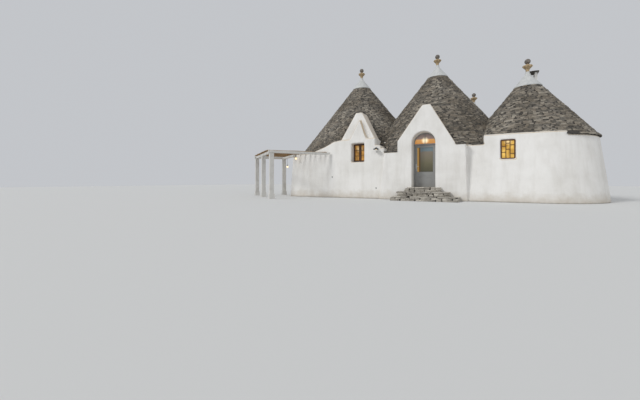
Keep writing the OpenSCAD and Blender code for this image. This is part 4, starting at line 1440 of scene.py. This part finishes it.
@dataclass
class Fittings:
    """Small fixed things on the left wall: two floodlights, a dish lamp and two vents.

    Attributes:
        flood_size: Width, depth and height of a floodlight, in metres.
        flood_rim: Width of the rim round its glass.
        neck: Height and radius of its foot.
        dish_radius: Radius of the lamp's dish.
        dish_height: Height of the dish, and of the socket over it.
        arm_rise: How far the dish's arm lies above the dish's rim.
        vent_radius: Radius of a vent's rim.
        seat: How far a vent reaches into the wall; the arm reaches 1 cm further.
        floods: Places of the floodlights' feet.
        dish: Place of the dish lamp along the wall and over the ground.
        vents: Places of the vents, likewise.
    """

    flood_size: Triple = (0.15, 0.08, 0.09)
    flood_rim: float = 0.012
    neck: float = 0.03
    dish_radius: float = 0.15
    dish_height: float = 0.05
    arm_rise: float = 0.08
    vent_radius: float = 0.035
    seat: float = 0.02
    floods: tuple[Triple, ...] = ((-2.25, 0.95, 2.73), (-2.00, 0.95, 2.58))
    dish: tuple[float, float] = (-2.27, 2.49)
    vents: tuple[tuple[float, float], ...] = ((-4.79, 1.12), (-2.32, 0.54))

    def build(self) -> None:
        """Builds all of them."""
        metal = Workpiece("wall_fittings", 0.004)
        lights = Workpiece("wall_lights", 0.002)
        half, deep, rim = self.flood_size[0] / 2, self.flood_size[1] / 2, self.flood_rim
        for x, y, z in self.floods:
            low, high, glass = z + self.neck, z + self.neck + self.flood_size[2], y + deep + 0.001
            metal.rod((x, y, z), (x, y, low), self.neck)
            metal.bar((x - half, y - deep, low), (x + half, y + deep, high))
            lights.bar((x - half + rim, glass, low + rim), (x + half - rim, glass + 0.005, high - rim))
        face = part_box("left_front_wall")[0].y
        x, z = self.dish
        out = face - self.dish_radius - 0.02
        arm, head = z + self.arm_rise, z + self.dish_height
        metal.rod((x, face + self.seat + 0.01, arm), (x, out, arm), 0.012)
        metal.rod((x, out, head), (x, out, head + self.dish_height), 0.035)
        metal.rod((x, out, z), (x, out, head), self.dish_radius, self.dish_radius * 0.7, 28)
        lights.ball((x, out, z + 0.005), 0.024)
        for x, z in self.vents:
            start, end = (x, face + self.seat, z), (x, face - 0.012, z)
            metal.rod(start, end, self.vent_radius, self.vent_radius * 0.8)
        settle(metal.finish(), METAL)
        settle(lights.finish(), LAMP)


@dataclass
class Studio:
    """The pale floor, the soft light and the camera.

    Attributes:
        half: Half the floor's side, in metres.
        sky: Strength of the even light.
        key: Strength of the lamp from the left.
        fill: Strength of the lamp from the right.
    """

    half: float = 60.0
    sky: float = 0.62
    key: float = 1.5
    fill: float = 0.35

    def build(self) -> None:
        """Makes the stage."""
        scene = bpy.context.scene
        scene.view_settings.view_transform = "Standard"
        self.lay_floor()
        self.light(scene)
        self.aim_camera(scene)

    def lay_floor(self) -> None:
        """Lays the plain floor."""
        mesh = bpy.data.meshes.new("studio_floor")
        h = self.half
        mesh.from_pydata([(-h, -h, 0), (h, -h, 0), (h, h, 0), (-h, h, 0)], [], [(0, 1, 2, 3)])
        floor = link("studio_floor", mesh)
        pale = bpy.data.materials.new("studio_floor")
        pale.use_nodes = True
        feed(pale.node_tree.nodes["Principled BSDF"], {"Base Color": srgb("CFCFCD"), "Roughness": 0.9})
        mesh.materials.append(pale)

    def light(self, scene: Scene) -> None:
        """Sets the even sky and two soft lamps.

        Args:
            scene: The scene.
        """
        world = bpy.data.worlds.new("studio")
        world.use_nodes = True
        feed(world.node_tree.nodes["Background"], {"Color": srgb("F1F4F9"), "Strength": self.sky})
        scene.world = world
        for name, strength, spread, tilt, turn in (
            ("key", self.key, 14.0, 52.0, -38.0), ("fill", self.fill, 40.0, 60.0, 60.0),
        ):
            lamp = bpy.data.lights.new(name, "SUN")
            lamp.energy = strength
            lamp.angle = math.radians(spread)
            link(name, lamp).rotation_euler = (math.radians(tilt), 0.0, math.radians(turn))

    def aim_camera(self, scene: Scene) -> None:
        """Sets the level camera that the photograph's perspective gave, shifted to its horizon.

        Args:
            scene: The scene.
        """
        lens = bpy.data.cameras.new("camera")
        lens.sensor_width = SENSOR_MM
        lens.lens = FOCAL_PX / PHOTO_WIDTH_PX * SENSOR_MM
        lens.shift_y = (HORIZON_PX - PHOTO_HEIGHT_PX / 2) / PHOTO_WIDTH_PX
        camera = link("camera", lens)
        camera.location = CAMERA_PLACE
        camera.rotation_euler = (math.radians(90.0), 0.0, math.radians(CAMERA_YAW_DEG))
        scene.camera = camera


def main() -> None:
    """Builds the stage and every sub-assembly in order."""
    logging.basicConfig(level=logging.INFO, format="%(name)s %(message)s")
    for assembly in (Studio(), Plaster(), Roofs(), Steps(), Entrance(), Windows(), Pergola(), Fittings()):
        LOG.info("building %s", type(assembly).__name__)
        assembly.build()


if __name__ == "__main__":
    main()
